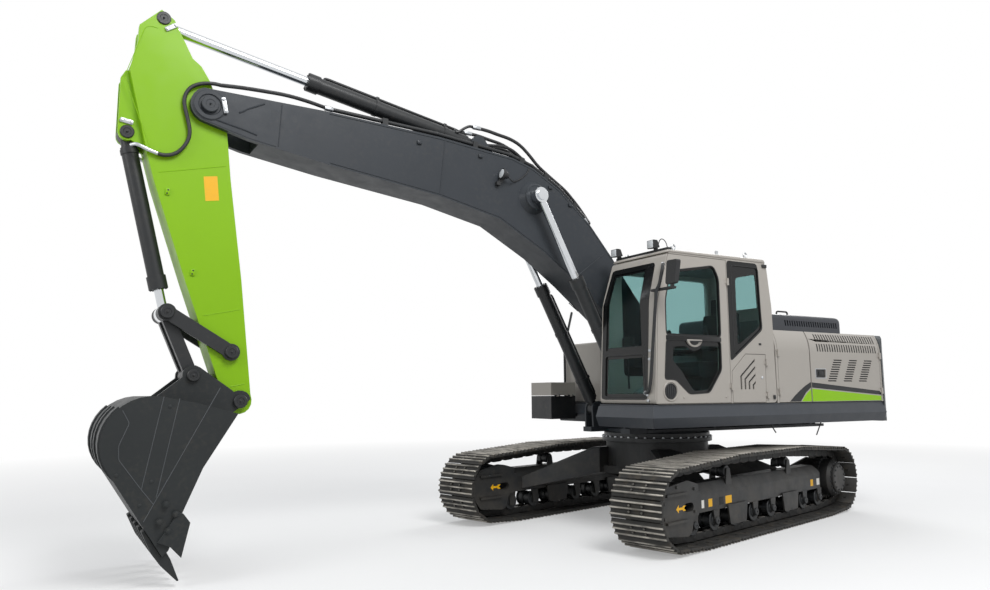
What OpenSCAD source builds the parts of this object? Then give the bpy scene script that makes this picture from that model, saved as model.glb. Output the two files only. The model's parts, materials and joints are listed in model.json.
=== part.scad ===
// Crawler excavator with a one-piece boom, a digging arm and a toothed bucket.
// Millimetres. +X points along the boom, +Y to the operator's left, +Z up.
// The origin is on the ground under the slewing axis.

/* [Tracks] */
// Length of a track over the grouser tips
track_length = 4640; // [4500:10:4800]
// Distance between the centre lines of the two tracks
track_gauge = 2590; // [2500:10:2700]
// Width of a track shoe
shoe_width = 600; // [500:50:700]
// Number of shoes in one track
shoe_count = 51; // [49:1:53]
// Height of the idler and sprocket centres
wheel_height = 430; // [415:5:445]
// Turn of the tracks against the boom, in degrees
track_yaw = 13.2; // [0:0.2:30]

/* [Upper structure] */
// Half the width of the upper structure over its side panels
upper_half_width = 1380; // [1360:5:1390]
// Height of the top of the deck
deck_top = 1425; // [1425:1:1428]
// Height of the machine housing behind the cab
housing_top = 2300; // [2280:5:2320]
// Rear end of the counterweight
tail_reach = 3110; // [3050:10:3150]

/* [Cab] */
// Width of the cab
cab_width = 920; // [900:5:920]
// Height of the cab roof above the deck
cab_height = 1700; // [1690:5:1720]
// Thickness of the cab walls and of the door
cab_wall = 60; // [50:5:60]

/* [Working gear] */
// Width of the boom box
boom_width = 460; // [440:5:470]
// Width of the arm box
arm_width = 330; // [310:5:330]
// Width of the bucket over its side plates
bucket_width = 1240; // [1100:20:1300]
// Number of bucket teeth
tooth_count = 5; // [3:1:6]
// Bore radius of the main working pins
pin_radius = 45; // [40:1:50]

/* [Hidden] */
$fn = 48;

// Colours of the finishes
warm_grey = "#b9b4ab";
slate = "#3b3f44";
soot = "#232426";
lime = "#8fd400";
steel = "#c9ccd0";
tinted = "#3f7f80";

// Clearances between moving pieces, between fixed pieces and in a pin joint
move_gap = 6;
fixed_gap = 0.2;
pin_fit = 0.05;

// Pins of the working gear in side view, as [x, z]
boom_foot = [100, 2020];
boom_cyl_foot = [700, 1350];
boom_cyl_eye = [2020, 3830];
arm_cyl_foot = [2675, 4415];
arm_pin = [5660, 4260];
arm_cyl_eye = [6085, 5040];
bucket_cyl_foot = [6335, 3920];
rocker_pin = [5375, 1950];
link_pin = [5940, 2295];
bucket_link_pin = [5700, 1735];
bucket_pin = [5285, 1500];
tooth_tip = [5790, 40];

// Angles of the arm and of the bucket in side view
function bearing(from, to) = atan2(to[1] - from[1], to[0] - from[0]);
arm_angle = bearing(arm_pin, bucket_pin);
bucket_angle = bearing(bucket_pin, tooth_tip);

// Half widths across the working gear
boom_half = boom_width / 2;
arm_half = arm_width / 2;
fork_inner = arm_half + move_gap;
fork_outer = boom_half + 8;
frame_plate_inner = boom_half + 55;
frame_plate = 30;
boom_cyl_y = 370;
boom_eye_half = 48;
bucket_half = bucket_width / 2;

// Basic shapes in side view
module side_plate(points, y0, y1) {
  translate([0, y1, 0]) rotate([90, 0, 0]) linear_extrude(y1 - y0) polygon(points);
}
module pin(at, radius, y0, y1) {
  translate([at[0], y1, at[1]]) rotate([90, 0, 0]) cylinder(r = radius, h = y1 - y0);
}
module both_sides() {
  children();
  mirror([0, 1, 0]) children();
}
module block(low, high) {
  translate(low) cube(high - low);
}
// Puts a local frame at a pin, with local +X along a bearing in side view
module at_pin(at, angle) {
  translate([at[0], 0, at[1]]) rotate([0, -angle, 0]) children();
}
module bar_x(radius, x0, x1) {
  translate([x0, 0, 0]) rotate([0, 90, 0]) cylinder(r = radius, h = x1 - x0);
}
// Outline with each corner rounded over a length on both of its sides
function unit(v) = v / norm(v);
function soft(points, reach, steps = 4) = [
  for (i = [0:len(points) - 1])
    let (p = points[i], a = points[(i + len(points) - 1) % len(points)], b = points[(i + 1) % len(points)],
         from = p + reach * unit(a - p), to = p + reach * unit(b - p))
    for (k = [0:steps]) let (t = k / steps) (1 - t) * (1 - t) * from + 2 * t * (1 - t) * p + t * t * to
];
module end_plate(points, x0, x1) {
  translate([x0, 0, 0]) rotate([90, 0, 90]) linear_extrude(x1 - x0) polygon(points);
}
function slot_outline(center, half, radius) = concat(
  arc(center + [half, 0], radius, -90, 90, 6), arc(center - [half, 0], radius, 90, 270, 6)
);
// Piece turned about the Y axis from an outline of radius and Y
module turned(at, profile) {
  translate([at[0], 0, at[1]]) rotate([-90, 0, 0]) rotate_extrude() polygon(profile);
}
function two_sided(profile) = concat(
  [for (p = profile) [p[0], -p[1]]], [for (k = [len(profile) - 1:-1:0]) profile[k]]
);
function arc(center, radius, a0, a1, steps) =
  [for (i = [0:steps]) let (a = a0 + (a1 - a0) * i / steps) center + radius * [cos(a), sin(a)]];

// Butt hinge in a local frame: +Z along its pin, +X towards the moving leaf, +Y away from the face
hinge_radius = 14;
hinge_pin = 8;
hinge_half = 40;
hinge_mid = 20;
hinge_stand = 16;
hinge_leaf = 30;
short_leaf = 20;
hinge_root = 6;
hinge_sunk = 1;
// Leaf on the face, with its far edge set into the panel that carries it
module hinge_plate(height, leaf) {
  translate([0, -hinge_stand, -height / 2]) cube([leaf, 6, height]);
  translate([leaf - hinge_root, -hinge_stand - hinge_sunk, -height / 2])
    cube([hinge_root, hinge_sunk + 1, height]);
}
module hinge_fixed(leaf = hinge_leaf) {
  cylinder(r = hinge_pin, h = 2 * hinge_half, center = true);
  for (s = [-1, 1]) translate([0, 0, s * (hinge_half + hinge_mid) / 2]) {
    cylinder(r = hinge_radius, h = hinge_half - hinge_mid - 0.5, center = true);
    scale([-1, 1, 1]) hinge_plate(hinge_half - hinge_mid - 0.5, leaf);
  }
}
module hinge_moving() {
  difference() {
    union() {
      cylinder(r = hinge_radius, h = 2 * hinge_mid, center = true);
      hinge_plate(2 * hinge_mid, hinge_leaf);
    }
    cylinder(r = hinge_pin + pin_fit, h = 3 * hinge_half, center = true);
  }
}
module upright_hinges(at, heights, way) {
  for (z = heights) translate([at[0], at[1], z]) scale([way[0], way[1], 1]) children();
}

// Track loop, worked out as a belt around its wheels
grouser = 26;
shoe_plate = 14;
chain_height = 95;
belt_skin = 14;
wheel_x = track_length / 2 - 405;
end_radius = 405 - grouser - shoe_plate;
ground_line = grouser + shoe_plate;
roller_radius = 84;
carrier_radius = 64;
bottom_ref = roller_radius + 1 + chain_height;
carrier_ref = carrier_radius + 1 + chain_height;
carrier_x = wheel_x * 0.376;
carrier_z = 705;
bottom_x = wheel_x - 435;
chain_width = 190;
wheels = [
  [-bottom_x, ground_line + bottom_ref, bottom_ref],
  [bottom_x, ground_line + bottom_ref, bottom_ref],
  [wheel_x, wheel_height, end_radius],
  [carrier_x, carrier_z, carrier_ref],
  [-carrier_x, carrier_z, carrier_ref],
  [-wheel_x, wheel_height, end_radius]
];
function wheel(i) = wheels[(i + len(wheels)) % len(wheels)];
function span(a, b) = norm([b[0] - a[0], b[1] - a[1]]);
function tangent(a, b) = bearing(a, b) - acos((a[2] - b[2]) / span(a, b));
function turn(i) = (tangent(wheel(i), wheel(i + 1)) - tangent(wheel(i - 1), wheel(i)) + 720) % 360;
function arc_length(i) = turn(i) * PI / 180 * wheel(i)[2];
function run_length(i) =
  let (a = wheel(i), b = wheel(i + 1)) sqrt(pow(span(a, b), 2) - pow(a[2] - b[2], 2));
function belt_length(i = 0) =
  i == len(wheels) ? 0 : arc_length(i) + run_length(i) + belt_length(i + 1);
// Place on the belt at a distance along it, as [x, z, outward angle]
function belt_at(s, i = 0) =
  let (w = wheel(i), start = tangent(wheel(i - 1), w), a = arc_length(i), r = run_length(i))
  s <= a ? let (n = start + s / w[2] * 180 / PI) [w[0] + w[2] * cos(n), w[1] + w[2] * sin(n), n]
  : s <= a + r ? let (n = tangent(w, wheel(i + 1)), d = s - a)
    [w[0] + w[2] * cos(n) - d * sin(n), w[1] + w[2] * sin(n) + d * cos(n), n]
  : belt_at(s - a - r, i + 1);
function belt_point(place, along, out) =
  [place[0] + out * cos(place[2]) - along * sin(place[2]),
   place[1] + out * sin(place[2]) + along * cos(place[2])];
loop_length = belt_length();
shoe_pitch = loop_length / shoe_count;
// One shoe's outer outline: a lap joint and three pointed grousers
shoe_outline = [
  [-shoe_pitch / 2, 4],
  for (g = [-1:1]) each let (t = g * shoe_pitch * 0.31)
    [[t - 16, shoe_plate], [t, ground_line], [t + 16, shoe_plate]]
];
shoe_band = [
  for (k = [0:shoe_count - 1]) let (place = belt_at((k + 0.5) * shoe_pitch))
    each [for (p = shoe_outline) belt_point(place, p[0], p[1])]
];
belt_step = 6;
function inner_belt(out) = [
  for (i = [0:len(wheels) - 1])
    let (w = wheel(i), start = tangent(wheel(i - 1), w), steps = ceil(turn(i) / belt_step))
    for (k = [0:steps]) let (a = start + turn(i) * k / steps)
      [w[0] + (w[2] + out) * cos(a), w[1] + (w[2] + out) * sin(a)]
];

// Cab outline in side view
cab_left = upper_half_width;
cab_right = cab_left - cab_width;
cab_floor = deck_top + 5;
cab_top = deck_top + cab_height;
cab_front_low = [1270, cab_floor];
cab_front_mid = [1205, 2570];
cab_front_top = [1030, cab_top - 35];
cab_rear_top = [-575, cab_top - 35];
cab_rear_mid = [-640, 2550];
cab_rear_low = [-655, cab_floor];
cab_outline = [cab_front_low, cab_front_mid, cab_front_top, cab_rear_top, cab_rear_mid, cab_rear_low];
door_edge = 118;
door_bottom = cab_floor + 8;
door_top = cab_top - 52;
function front_x(z) = z < cab_front_mid[1]
  ? cab_front_low[0] + (cab_front_mid[0] - cab_front_low[0]) * (z - cab_floor) / (cab_front_mid[1] - cab_floor)
  : cab_front_mid[0] + (cab_front_top[0] - cab_front_mid[0]) * (z - cab_front_mid[1])
    / (cab_front_top[1] - cab_front_mid[1]);
door_front_gap = 22;
door_outline = [
  [door_edge, door_bottom], [front_x(door_bottom) - door_front_gap, door_bottom],
  [cab_front_mid[0] - door_front_gap, cab_front_mid[1]], [front_x(door_top) - door_front_gap, door_top],
  [door_edge, door_top]
];
quarter_window = [[40, 3030], [-430, 3030], [-455, 2290], [40, 1950]];
service_outline = [
  [85, door_bottom], [85, 1790], [-150, 1990], [-485, 1990], [-465, door_bottom]
];
cab_round = 55;

// Undercarriage
module on_tracks() {
  rotate([0, 0, track_yaw]) children();
}
module track_side(side) {
  on_tracks() translate([0, side * track_gauge / 2, 0]) children();
}
module track_loop(side) {
  color(soot) track_side(side) {
    difference() {
      side_plate(shoe_band, -shoe_width / 2, shoe_width / 2);
      side_plate(inner_belt(-belt_skin), -shoe_width / 2 - 1, shoe_width / 2 + 1);
    }
    difference() {
      side_plate(inner_belt(-belt_skin + 1), -chain_width / 2, chain_width / 2);
      side_plate(inner_belt(-chain_height), -chain_width / 2 - 1, chain_width / 2 + 1);
    }
  }
}
frame_half = 130;
roller_flange = roller_radius + 20;
frame_bottom = ground_line + bottom_ref + roller_flange + 10;
frame_top = 620;
cap_inner = chain_width / 2 + 15;
cap_outer = 200;
frame_shoulder = frame_top - 100;
frame_rear = wheel_x - 385;
frame_front = wheel_x - 355;
frame_outline = [
  [-frame_rear, frame_bottom], [frame_front, frame_bottom], [frame_front, frame_top - 60],
  [frame_front - 120, frame_top], [-frame_rear + 90, frame_top], [-frame_rear, frame_top - 60]
];
frame_section = [
  [-frame_half, frame_bottom - 1], [frame_half, frame_bottom - 1], [frame_half, frame_shoulder],
  [frame_half - 60, frame_top + 1], [60 - frame_half, frame_top + 1], [-frame_half, frame_shoulder]
];
cap_outline = soft([
  [wheel_x - 415, 335], [wheel_x - 325, 335], [wheel_x - 275, 190], [wheel_x - 215, 150], [wheel_x + 165, 190],
  [wheel_x + 275, 330], [wheel_x + 275, 520], [wheel_x + 165, 650], [wheel_x - 215, 690], [wheel_x - 415, 640]
], 25);
cap_rib = 26;
module track_frame(side) {
  color(soot) track_side(side) {
    difference() {
      intersection() {
        side_plate(frame_outline, -frame_half, frame_half);
        end_plate(frame_section, -frame_rear - 1, frame_front + 1);
      }
      for (x = window_places)
        side_plate(slot_outline([x, frame_shoulder - 70], 60, 34), frame_half - 60, frame_half + 1);
    }
    both_sides() difference() {
      union() {
        side_plate(cap_outline, cap_inner, cap_outer);
        for (z = [300, 560])
          block([wheel_x - 180, cap_outer - 1, z], [wheel_x + 180, cap_outer + cap_rib, z + 24]);
      }
      side_plate(slot_outline([wheel_x - 230, 430], 45, 42), cap_inner - 1, cap_outer + 1);
    }
    both_sides() block([frame_front - 110, frame_half - 40, frame_bottom + 20],
                       [frame_front, cap_outer, frame_top - 60]);
    both_sides() {
      for (x = [-carrier_x, carrier_x])
        side_plate([
          [x - 70, frame_shoulder + 20], [x + 70, frame_shoulder + 20], [x + 34, carrier_z + 30], [x - 34, carrier_z + 30]
        ], carrier_half, carrier_half + 18);
      for (k = [0:7])
        side_plate([
          [roller_x(k) - 60, frame_bottom + 1], [roller_x(k) - 34, roller_z - 44], [roller_x(k) + 34, roller_z - 44],
          [roller_x(k) + 60, frame_bottom + 1]
        ], roller_half, roller_half + 18);
      for (x = guard_places)
        side_plate(soft([
          [x - 210, frame_bottom + 30], [x - 170, roller_z - 66], [x + 170, roller_z - 66], [x + 210, frame_bottom + 30]
        ], 20), roller_half + 17, roller_half + 35);
    }
    scale([1, side, 1]) {
      side_plate(drive_outline, -drive_half - 25, -drive_half);
      block([-frame_rear, -drive_half - 25, frame_bottom + 20], [-frame_rear + 100, 40 - frame_half, frame_top - 20]);
      pin([-wheel_x, wheel_height], 150, -drive_half - 110, -drive_half - 25);
    }
  }
}
window_places = [-0.5 * wheel_x, -0.16 * wheel_x, 0.16 * wheel_x, 0.5 * wheel_x];
guard_places = [-roller_x(5), roller_x(5)];
drive_half = 190;
drive_outline = concat(
  arc([-wheel_x, wheel_height], 250, 90, 270, 10),
  [[-frame_rear + 100, frame_bottom], [-frame_rear + 100, frame_top - 20]]
);
roller_half = 121;
carrier_half = 85;
roller_z = ground_line + bottom_ref;
function roller_x(k) = -bottom_x + k * 2 * bottom_x / 7;
// Half profiles of a bottom roller, a carrier roller and the idler, as radius and Y
roller_profile = [
  [0, roller_half], [60, roller_half], [60, roller_half - 9], [roller_flange - 6, roller_half - 9],
  [roller_flange, roller_half - 13], [roller_flange, chain_width / 2 + 4], [roller_radius, chain_width / 2 + 2],
  [roller_radius, 24], [roller_radius - 16, 16]
];
carrier_profile = [
  [0, carrier_half], [carrier_radius - 8, carrier_half], [carrier_radius, carrier_half - 8], [carrier_radius, 20],
  [carrier_radius - 10, 14]
];
idler_radius = end_radius - chain_height - 1;
idler_profile = [
  [0, cap_inner], [110, cap_inner], [110, 38], [idler_radius - 75, 32], [idler_radius - 60, 76],
  [idler_radius - 8, 80], [idler_radius, 72]
];
module rollers(side) {
  color(soot) track_side(side) {
    for (k = [0:7]) turned([roller_x(k), roller_z], two_sided(roller_profile));
    for (x = [-carrier_x, carrier_x]) turned([x, carrier_z], two_sided(carrier_profile));
    turned([wheel_x, wheel_height], two_sided(idler_profile));
  }
}
sprocket_teeth = 21;
tooth_ring = [
  for (k = [0:sprocket_teeth - 1], p = [[-0.42, 30], [-0.2, 0], [0.2, 0], [0.42, 30]])
    let (a = (k + p[0]) * 360 / sprocket_teeth) (idler_radius - p[1]) * [cos(a), sin(a)]
];
drive_profile = [
  [0, -drive_half], [225, -drive_half], [235, 10 - drive_half], [235, drive_half - 40], [205, drive_half],
  [182, drive_half], [182, drive_half + 22], [168, drive_half + 35], [0, drive_half + 35]
];
module sprocket(side) {
  color(soot) track_side(side) scale([1, side, 1]) {
    translate([-wheel_x, 0, wheel_height]) rotate([90, 0, 0]) linear_extrude(90, center = true) polygon(tooth_ring);
    turned([-wheel_x, wheel_height], drive_profile);
  }
}
ring_radius = 690;
pedestal_top = 955;
module car_body() {
  color(soot) on_tracks() {
    translate([0, 0, 640]) cylinder(r = 640, h = pedestal_top - 640);
    block([-620, -560, 560], [620, 560, 650]);
    for (sx = [-1, 1], sy = [-1, 1]) scale([sx, sy, 1]) hull() {
      block([250, 380, 570], [700, 480, 880]);
      block([700, track_gauge / 2 - frame_half - 8, frame_bottom + 30],
            [wheel_x - 615, track_gauge / 2 - frame_half, frame_shoulder - 10]);
    }
  }
}
ring_bottom = pedestal_top + fixed_gap;
ring_top = 1064;
ring_bore = ring_radius - 130;
module slew_ring() {
  color(slate) difference() {
    union() {
      translate([0, 0, ring_bottom]) cylinder(r = ring_radius, h = 52);
      translate([0, 0, ring_bottom]) cylinder(r = ring_radius - 25, h = ring_top - ring_bottom);
    }
    translate([0, 0, pedestal_top - 1]) cylinder(r = ring_bore, h = 200);
  }
}

// Deck with a V-edged skirt
skirt_bottom = 1175;
skirt_ridge = 1285;
skirt_out = 45;
deck_rear = -2760;
deck_front = 1295;
right_front = 520;
frame_zone = 455;
module deck_slab(x1, low, high) {
  hull() {
    block([deck_rear, frame_zone, low[0]], [x1 + low[1], upper_half_width - 8 + low[1], low[0] + 1]);
    block([deck_rear, frame_zone, high[0] - 1], [x1 + high[1], upper_half_width - 8 + high[1], high[0]]);
  }
}
module deck_half(x1) {
  difference() {
    union() {
      deck_slab(x1, [skirt_bottom, 0], [skirt_ridge + 1, skirt_out]);
      deck_slab(x1, [skirt_ridge, skirt_out], [deck_top - 20, 0]);
      block([deck_rear, frame_zone, deck_top - 21], [x1 - 20, upper_half_width - 12, deck_top]);
    }
    block([deck_rear - 1, frame_zone + 30, skirt_bottom - 1],
          [x1 - 60, upper_half_width - 70, deck_top - 25]);
  }
}
module deck() {
  color(slate) {
    deck_half(deck_front);
    mirror([0, 1, 0]) deck_half(right_front);
  }
}
frame_floor = ring_top + 6;
frame_plate_outline = [
  [deck_rear, frame_floor + 35], [790, frame_floor + 35], each arc(boom_cyl_foot, 104, -20, 130, 8),
  [500, 1520], [260, 1980], each arc(boom_foot, 150, 0, 170, 8), [-260, 1760], [-640, 1500],
  [-1000, deck_top - 20], [deck_rear, deck_top - 25]
];
web_places = [-2500, -1850, -600];
module center_frame() {
  color(slate) {
    block([deck_rear, -frame_zone, frame_floor], [560, frame_zone, frame_floor + 36]);
    both_sides() {
      side_plate(frame_plate_outline, frame_plate_inner, frame_plate_inner + frame_plate);
      block([560, frame_plate_inner, frame_floor], [830, 450, frame_floor + 60]);
      block([600, boom_cyl_y + boom_eye_half + move_gap, frame_floor], [800, 450, 1350]);
      pin(boom_cyl_foot, 100, boom_cyl_y + boom_eye_half + move_gap, 450);
      pin(boom_cyl_foot, 40, frame_plate_inner, 452);
      pin(boom_foot, 120, frame_plate_inner, frame_plate_inner + frame_plate + 18);
    }
    pin(boom_foot, 50, -frame_plate_inner - 60, frame_plate_inner + 60);
    for (x = web_places) block([x, -frame_zone, frame_floor], [x + 40, frame_zone, deck_top]);
    difference() {
      translate([0, 0, pedestal_top + 20]) cylinder(r = ring_bore - pin_fit, h = frame_floor - pedestal_top - 19);
      translate([0, 0, pedestal_top]) cylinder(r = ring_bore - 70, h = frame_floor - pedestal_top);
    }
  }
}
weight_front = deck_rear;
weight_bottom = 1165;
module engine() {
  color(soot) block([-2550, -600, deck_top + fixed_gap], [-1770, 550, 2180]);
}

// Machine housing: fixed jambs and top, with doors on both sides and rounded shoulders
panel = 40;
housing_front = -665;
jamb = 34;
seam = -1300;
seam_gap = 20;
// The sides stand upright, then lean in along a wide arc to the edge of the roof
shoulder = 500;
shoulder_z = housing_top - 258;
shoulder_y = upper_half_width - shoulder;
shoulder_turn = asin((housing_top - shoulder_z) / shoulder);
shoulder_lip = shoulder_y + shoulder * cos(shoulder_turn);
panel_section = concat(
  [[upper_half_width, deck_top + move_gap]], arc([shoulder_y, shoulder_z], shoulder, 0, shoulder_turn, 8),
  arc([shoulder_y, shoulder_z], shoulder - panel, shoulder_turn, 0, 8),
  [[upper_half_width - panel, deck_top + move_gap]]
);
roof_edge = shoulder_lip - move_gap / sin(shoulder_turn);
roof_half = roof_edge - panel / 2 / tan(shoulder_turn);
roof_section = [
  [roof_edge, housing_top], [-roof_edge, housing_top], [-roof_half, housing_top - panel / 2],
  [-roof_half, housing_top - panel], [roof_half, housing_top - panel], [roof_half, housing_top - panel / 2]
];
corner_section = [
  [roof_half - 1, housing_top - panel], [shoulder_lip - 8, housing_top - panel], [shoulder_lip, housing_top],
  [roof_half - 1, housing_top]
];
weight_half = upper_half_width + 12;
weight_section = concat(
  [[weight_half - 50, weight_bottom], [weight_half, weight_bottom + 60]],
  arc([shoulder_y + 12, shoulder_z], shoulder, 0, shoulder_turn - 6, 6),
  [[shoulder_lip - 20, housing_top]], [[20 - shoulder_lip, housing_top]],
  [for (p = arc([shoulder_y + 12, shoulder_z], shoulder, shoulder_turn - 6, 0, 6)) [-p[0], p[1]]],
  [[-weight_half, weight_bottom + 60], [50 - weight_half, weight_bottom]]
);
lift_bore_x = -tail_reach + 240;
module counterweight() {
  color(slate) difference() {
    intersection() {
      translate([0, 0, weight_bottom]) linear_extrude(housing_top - weight_bottom) intersection() {
        translate([weight_front - 500, -upper_half_width - 20]) square([500, 2 * upper_half_width + 40]);
        hull() for (s = [-1, 1]) {
          translate([-tail_reach + 420, s * (upper_half_width - 280)]) circle(300);
          translate([-tail_reach + 820, s * (upper_half_width - 280)]) circle(300);
          translate([-tail_reach + 300, 0]) circle(300);
        }
      }
      end_plate(weight_section, weight_front - 600, weight_front + 1);
    }
    for (s = [-1, 1]) translate([lift_bore_x, s * 700, housing_top - 120]) cylinder(r = 40, h = 200);
  }
}
module panel_run(x0, x1) {
  end_plate(panel_section, x0, x1);
}
door_front = housing_front - jamb - move_gap;
door_rear = weight_front + jamb + move_gap;
pump_front = -1650;
module jamb_run(x0) {
  panel_run(x0, x0 + jamb);
  block([x0, upper_half_width - panel, deck_top], [x0 + jamb, upper_half_width, deck_top + move_gap + 1]);
  end_plate(corner_section, x0, x0 + jamb);
}
hinge_y = upper_half_width + hinge_stand;
side_hinge_heights = [1560, 2020];
module housing_frame() {
  color(warm_grey) {
    end_plate(roof_section, weight_front, housing_front);
    for (s = [-1, 1]) scale([1, s, 1]) jamb_run(weight_front);
    jamb_run(housing_front - jamb);
    upright_hinges([door_front + move_gap / 2, hinge_y], side_hinge_heights, [-1, 1]) hinge_fixed();
    for (s = [-1, 1])
      upright_hinges([door_rear - move_gap / 2, s * hinge_y], side_hinge_heights, [1, s]) hinge_fixed();
    for (y = hood_hinges) translate([hood_rear - hinge_stand, y, housing_top + hinge_stand]) {
      rotate([90, 0, 0]) cylinder(r = hinge_pin, h = 2 * hinge_half, center = true);
      for (s = [-1, 1]) translate([0, s * (hinge_half + hinge_mid) / 2, 0]) {
        rotate([90, 0, 0]) cylinder(r = hinge_radius, h = hinge_half - hinge_mid - 0.5, center = true);
        translate([-hinge_radius, -hinge_mid / 2 + 0.25, -hinge_stand])
          cube([2 * hinge_radius, hinge_half - hinge_mid - 0.5, hinge_stand]);
      }
    }
  }
}
module tanks() {
  color(warm_grey) {
    side_plate(soft([[-560, deck_top], [430, deck_top], [430, 2240], [-560, 2240]], 30), 10 - upper_half_width, -560);
    block([pump_front + 10, 10 - upper_half_width, deck_top], [-575, 210 - upper_half_width, shoulder_z]);
  }
}
function skirt_x(z) =
  right_front + fixed_gap + skirt_out * (z - skirt_bottom - 1) / (skirt_ridge - skirt_bottom - 1);
box_rear = right_front + 90;
box_front = 1010;
box_right = -upper_half_width + 10;
box_left = -900;
box_top = 1520;
box_hinges = [box_rear + 90, box_front - 90];
module box_hinge_line() {
  for (x = box_hinges)
    translate([x, box_left + hinge_stand, box_top + move_gap / 2]) rotate([0, -90, 0]) children();
}
module tool_box() {
  color(soot) {
    difference() {
      block([box_rear, box_right, 1215], [box_front, box_left, box_top]);
      block([box_rear + 20, box_right + 20, 1235], [box_front - 20, box_left - 20, box_top + 1]);
    }
    side_plate([
      [skirt_x(1240), 1240], [box_rear + 1, 1240], [box_rear + 1, 1280], [skirt_x(1280), 1280]
    ], box_right + 60, box_left - 60);
    box_hinge_line() hinge_fixed();
  }
}
module tool_box_lid() {
  color(warm_grey) {
    difference() {
      block([box_rear, box_right, box_top + move_gap], [box_front, box_left, 1700]);
      block([box_rear + 20, box_right + 20, box_top], [box_front - 20, box_left - 20, 1680]);
    }
    box_hinge_line() hinge_moving();
  }
}
rail_radius = 17;
rail_x = 470;
rail_y = 60 - upper_half_width;
module rail(points) {
  for (k = [0:len(points) - 2]) hull() {
    translate(points[k]) sphere(rail_radius, $fn = 16);
    translate(points[k + 1]) sphere(rail_radius, $fn = 16);
  }
}
module handrails() {
  color(soot) {
    translate([rail_x, rail_y, deck_top]) cylinder(r = 28, h = 14);
    rail([
      [rail_x, rail_y, deck_top + 24], [rail_x, rail_y, 2330], [rail_x - 60, rail_y, 2420], [rail_x - 140, rail_y, 2700]
    ]);
  }
}
module left_front_door() {
  color(warm_grey) {
    panel_run(seam + seam_gap / 2, door_front);
    upright_hinges([door_front + move_gap / 2, hinge_y], side_hinge_heights, [-1, 1]) hinge_moving();
  }
}
// Louvres of the rear door: two rows of leaning slots and three stepped vents
louvre_rows = [[2052, 2148], [2176, 2272]];
louvre_count = 25;
louvre_first = seam - 150;
louvre_last = door_rear + 75;
louvre_pitch = (louvre_first - louvre_last) / (louvre_count - 1);
vent_places = [seam - 400, seam - 715, seam - 1030];
vent_rows = 10;
vent_low = 1680;
vent_pitch = 29;
latch = [seam - 195, 1778];
module rear_door_cuts() {
  for (row = louvre_rows, k = [0:louvre_count - 1]) {
    x = louvre_first - k * louvre_pitch;
    side_plate([[x - 24, row[0]], [x, row[0]], [x + 6, row[1]], [x - 18, row[1]]],
               upper_half_width - 200, upper_half_width + 1);
  }
  for (x = vent_places, k = [0:vent_rows - 1]) {
    rear = x - 100 - k * 15;
    z = vent_low + k * vent_pitch;
    side_plate([[rear, z], [rear + 165, z], [rear + 173, z + 15], [rear + 8, z + 15]],
               upper_half_width - panel - 1, upper_half_width + 1);
  }
  side_plate(soft([latch + [-95, -52], latch + [95, -52], latch + [95, 52], latch + [-95, 52]], 14),
             upper_half_width - 14, upper_half_width + 1);
}
module left_rear_door() {
  color(warm_grey) {
    difference() {
      panel_run(door_rear, seam - seam_gap / 2);
      rear_door_cuts();
    }
    upright_hinges([door_rear - move_gap / 2, hinge_y], side_hinge_heights, [1, 1]) hinge_moving();
  }
}
module pump_door() {
  color(warm_grey) {
    mirror([0, 1, 0]) panel_run(door_rear, pump_front);
    upright_hinges([door_rear - move_gap / 2, -hinge_y], side_hinge_heights, [1, -1]) hinge_moving();
  }
}
hood_left = upper_half_width - 230;
hood_right = -300;
hood_rear = -2260;
hood_front = -760;
hood_top = housing_top + 230;
hood_skin = 30;
hood_round = 90;
hood_side = soft([
  [hood_rear, housing_top - 200], [hood_front, housing_top - 200], [hood_front, hood_top], [hood_rear, hood_top]
], hood_round);
hood_end = soft([
  [hood_right, housing_top - 200], [hood_left, housing_top - 200], [hood_left, hood_top], [hood_right, hood_top]
], 60);
hood_slots = 23;
hood_slot_pitch = 46;
hood_hinges = [0, hood_left - 300];
module hood() {
  color(slate) {
    difference() {
      intersection() {
        side_plate(hood_side, hood_right, hood_left);
        end_plate(hood_end, hood_rear - 1, hood_front + 1);
        block([hood_rear, hood_right, housing_top + move_gap], [hood_front, hood_left, hood_top]);
      }
      block([hood_rear + hood_skin, hood_right + hood_skin, housing_top],
            [hood_front - hood_skin, hood_left - hood_skin, hood_top - hood_skin]);
      for (k = [0:hood_slots - 1]) {
        x = hood_rear + 60 + k * hood_slot_pitch;
        side_plate([[x, 2382], [x + 24, 2382], [x + 38, 2452], [x + 14, 2452]], hood_left - hood_skin - 1, hood_left + 1);
      }
    }
    for (y = hood_hinges) translate([hood_rear - hinge_stand, y, housing_top + hinge_stand]) difference() {
      union() {
        rotate([90, 0, 0]) cylinder(r = hinge_radius, h = 2 * hinge_mid, center = true);
        translate([0, -hinge_mid, -4]) cube([hinge_stand + 1, 2 * hinge_mid, 8]);
      }
      rotate([90, 0, 0]) cylinder(r = hinge_pin + pin_fit, h = 3 * hinge_half, center = true);
    }
  }
}

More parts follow.
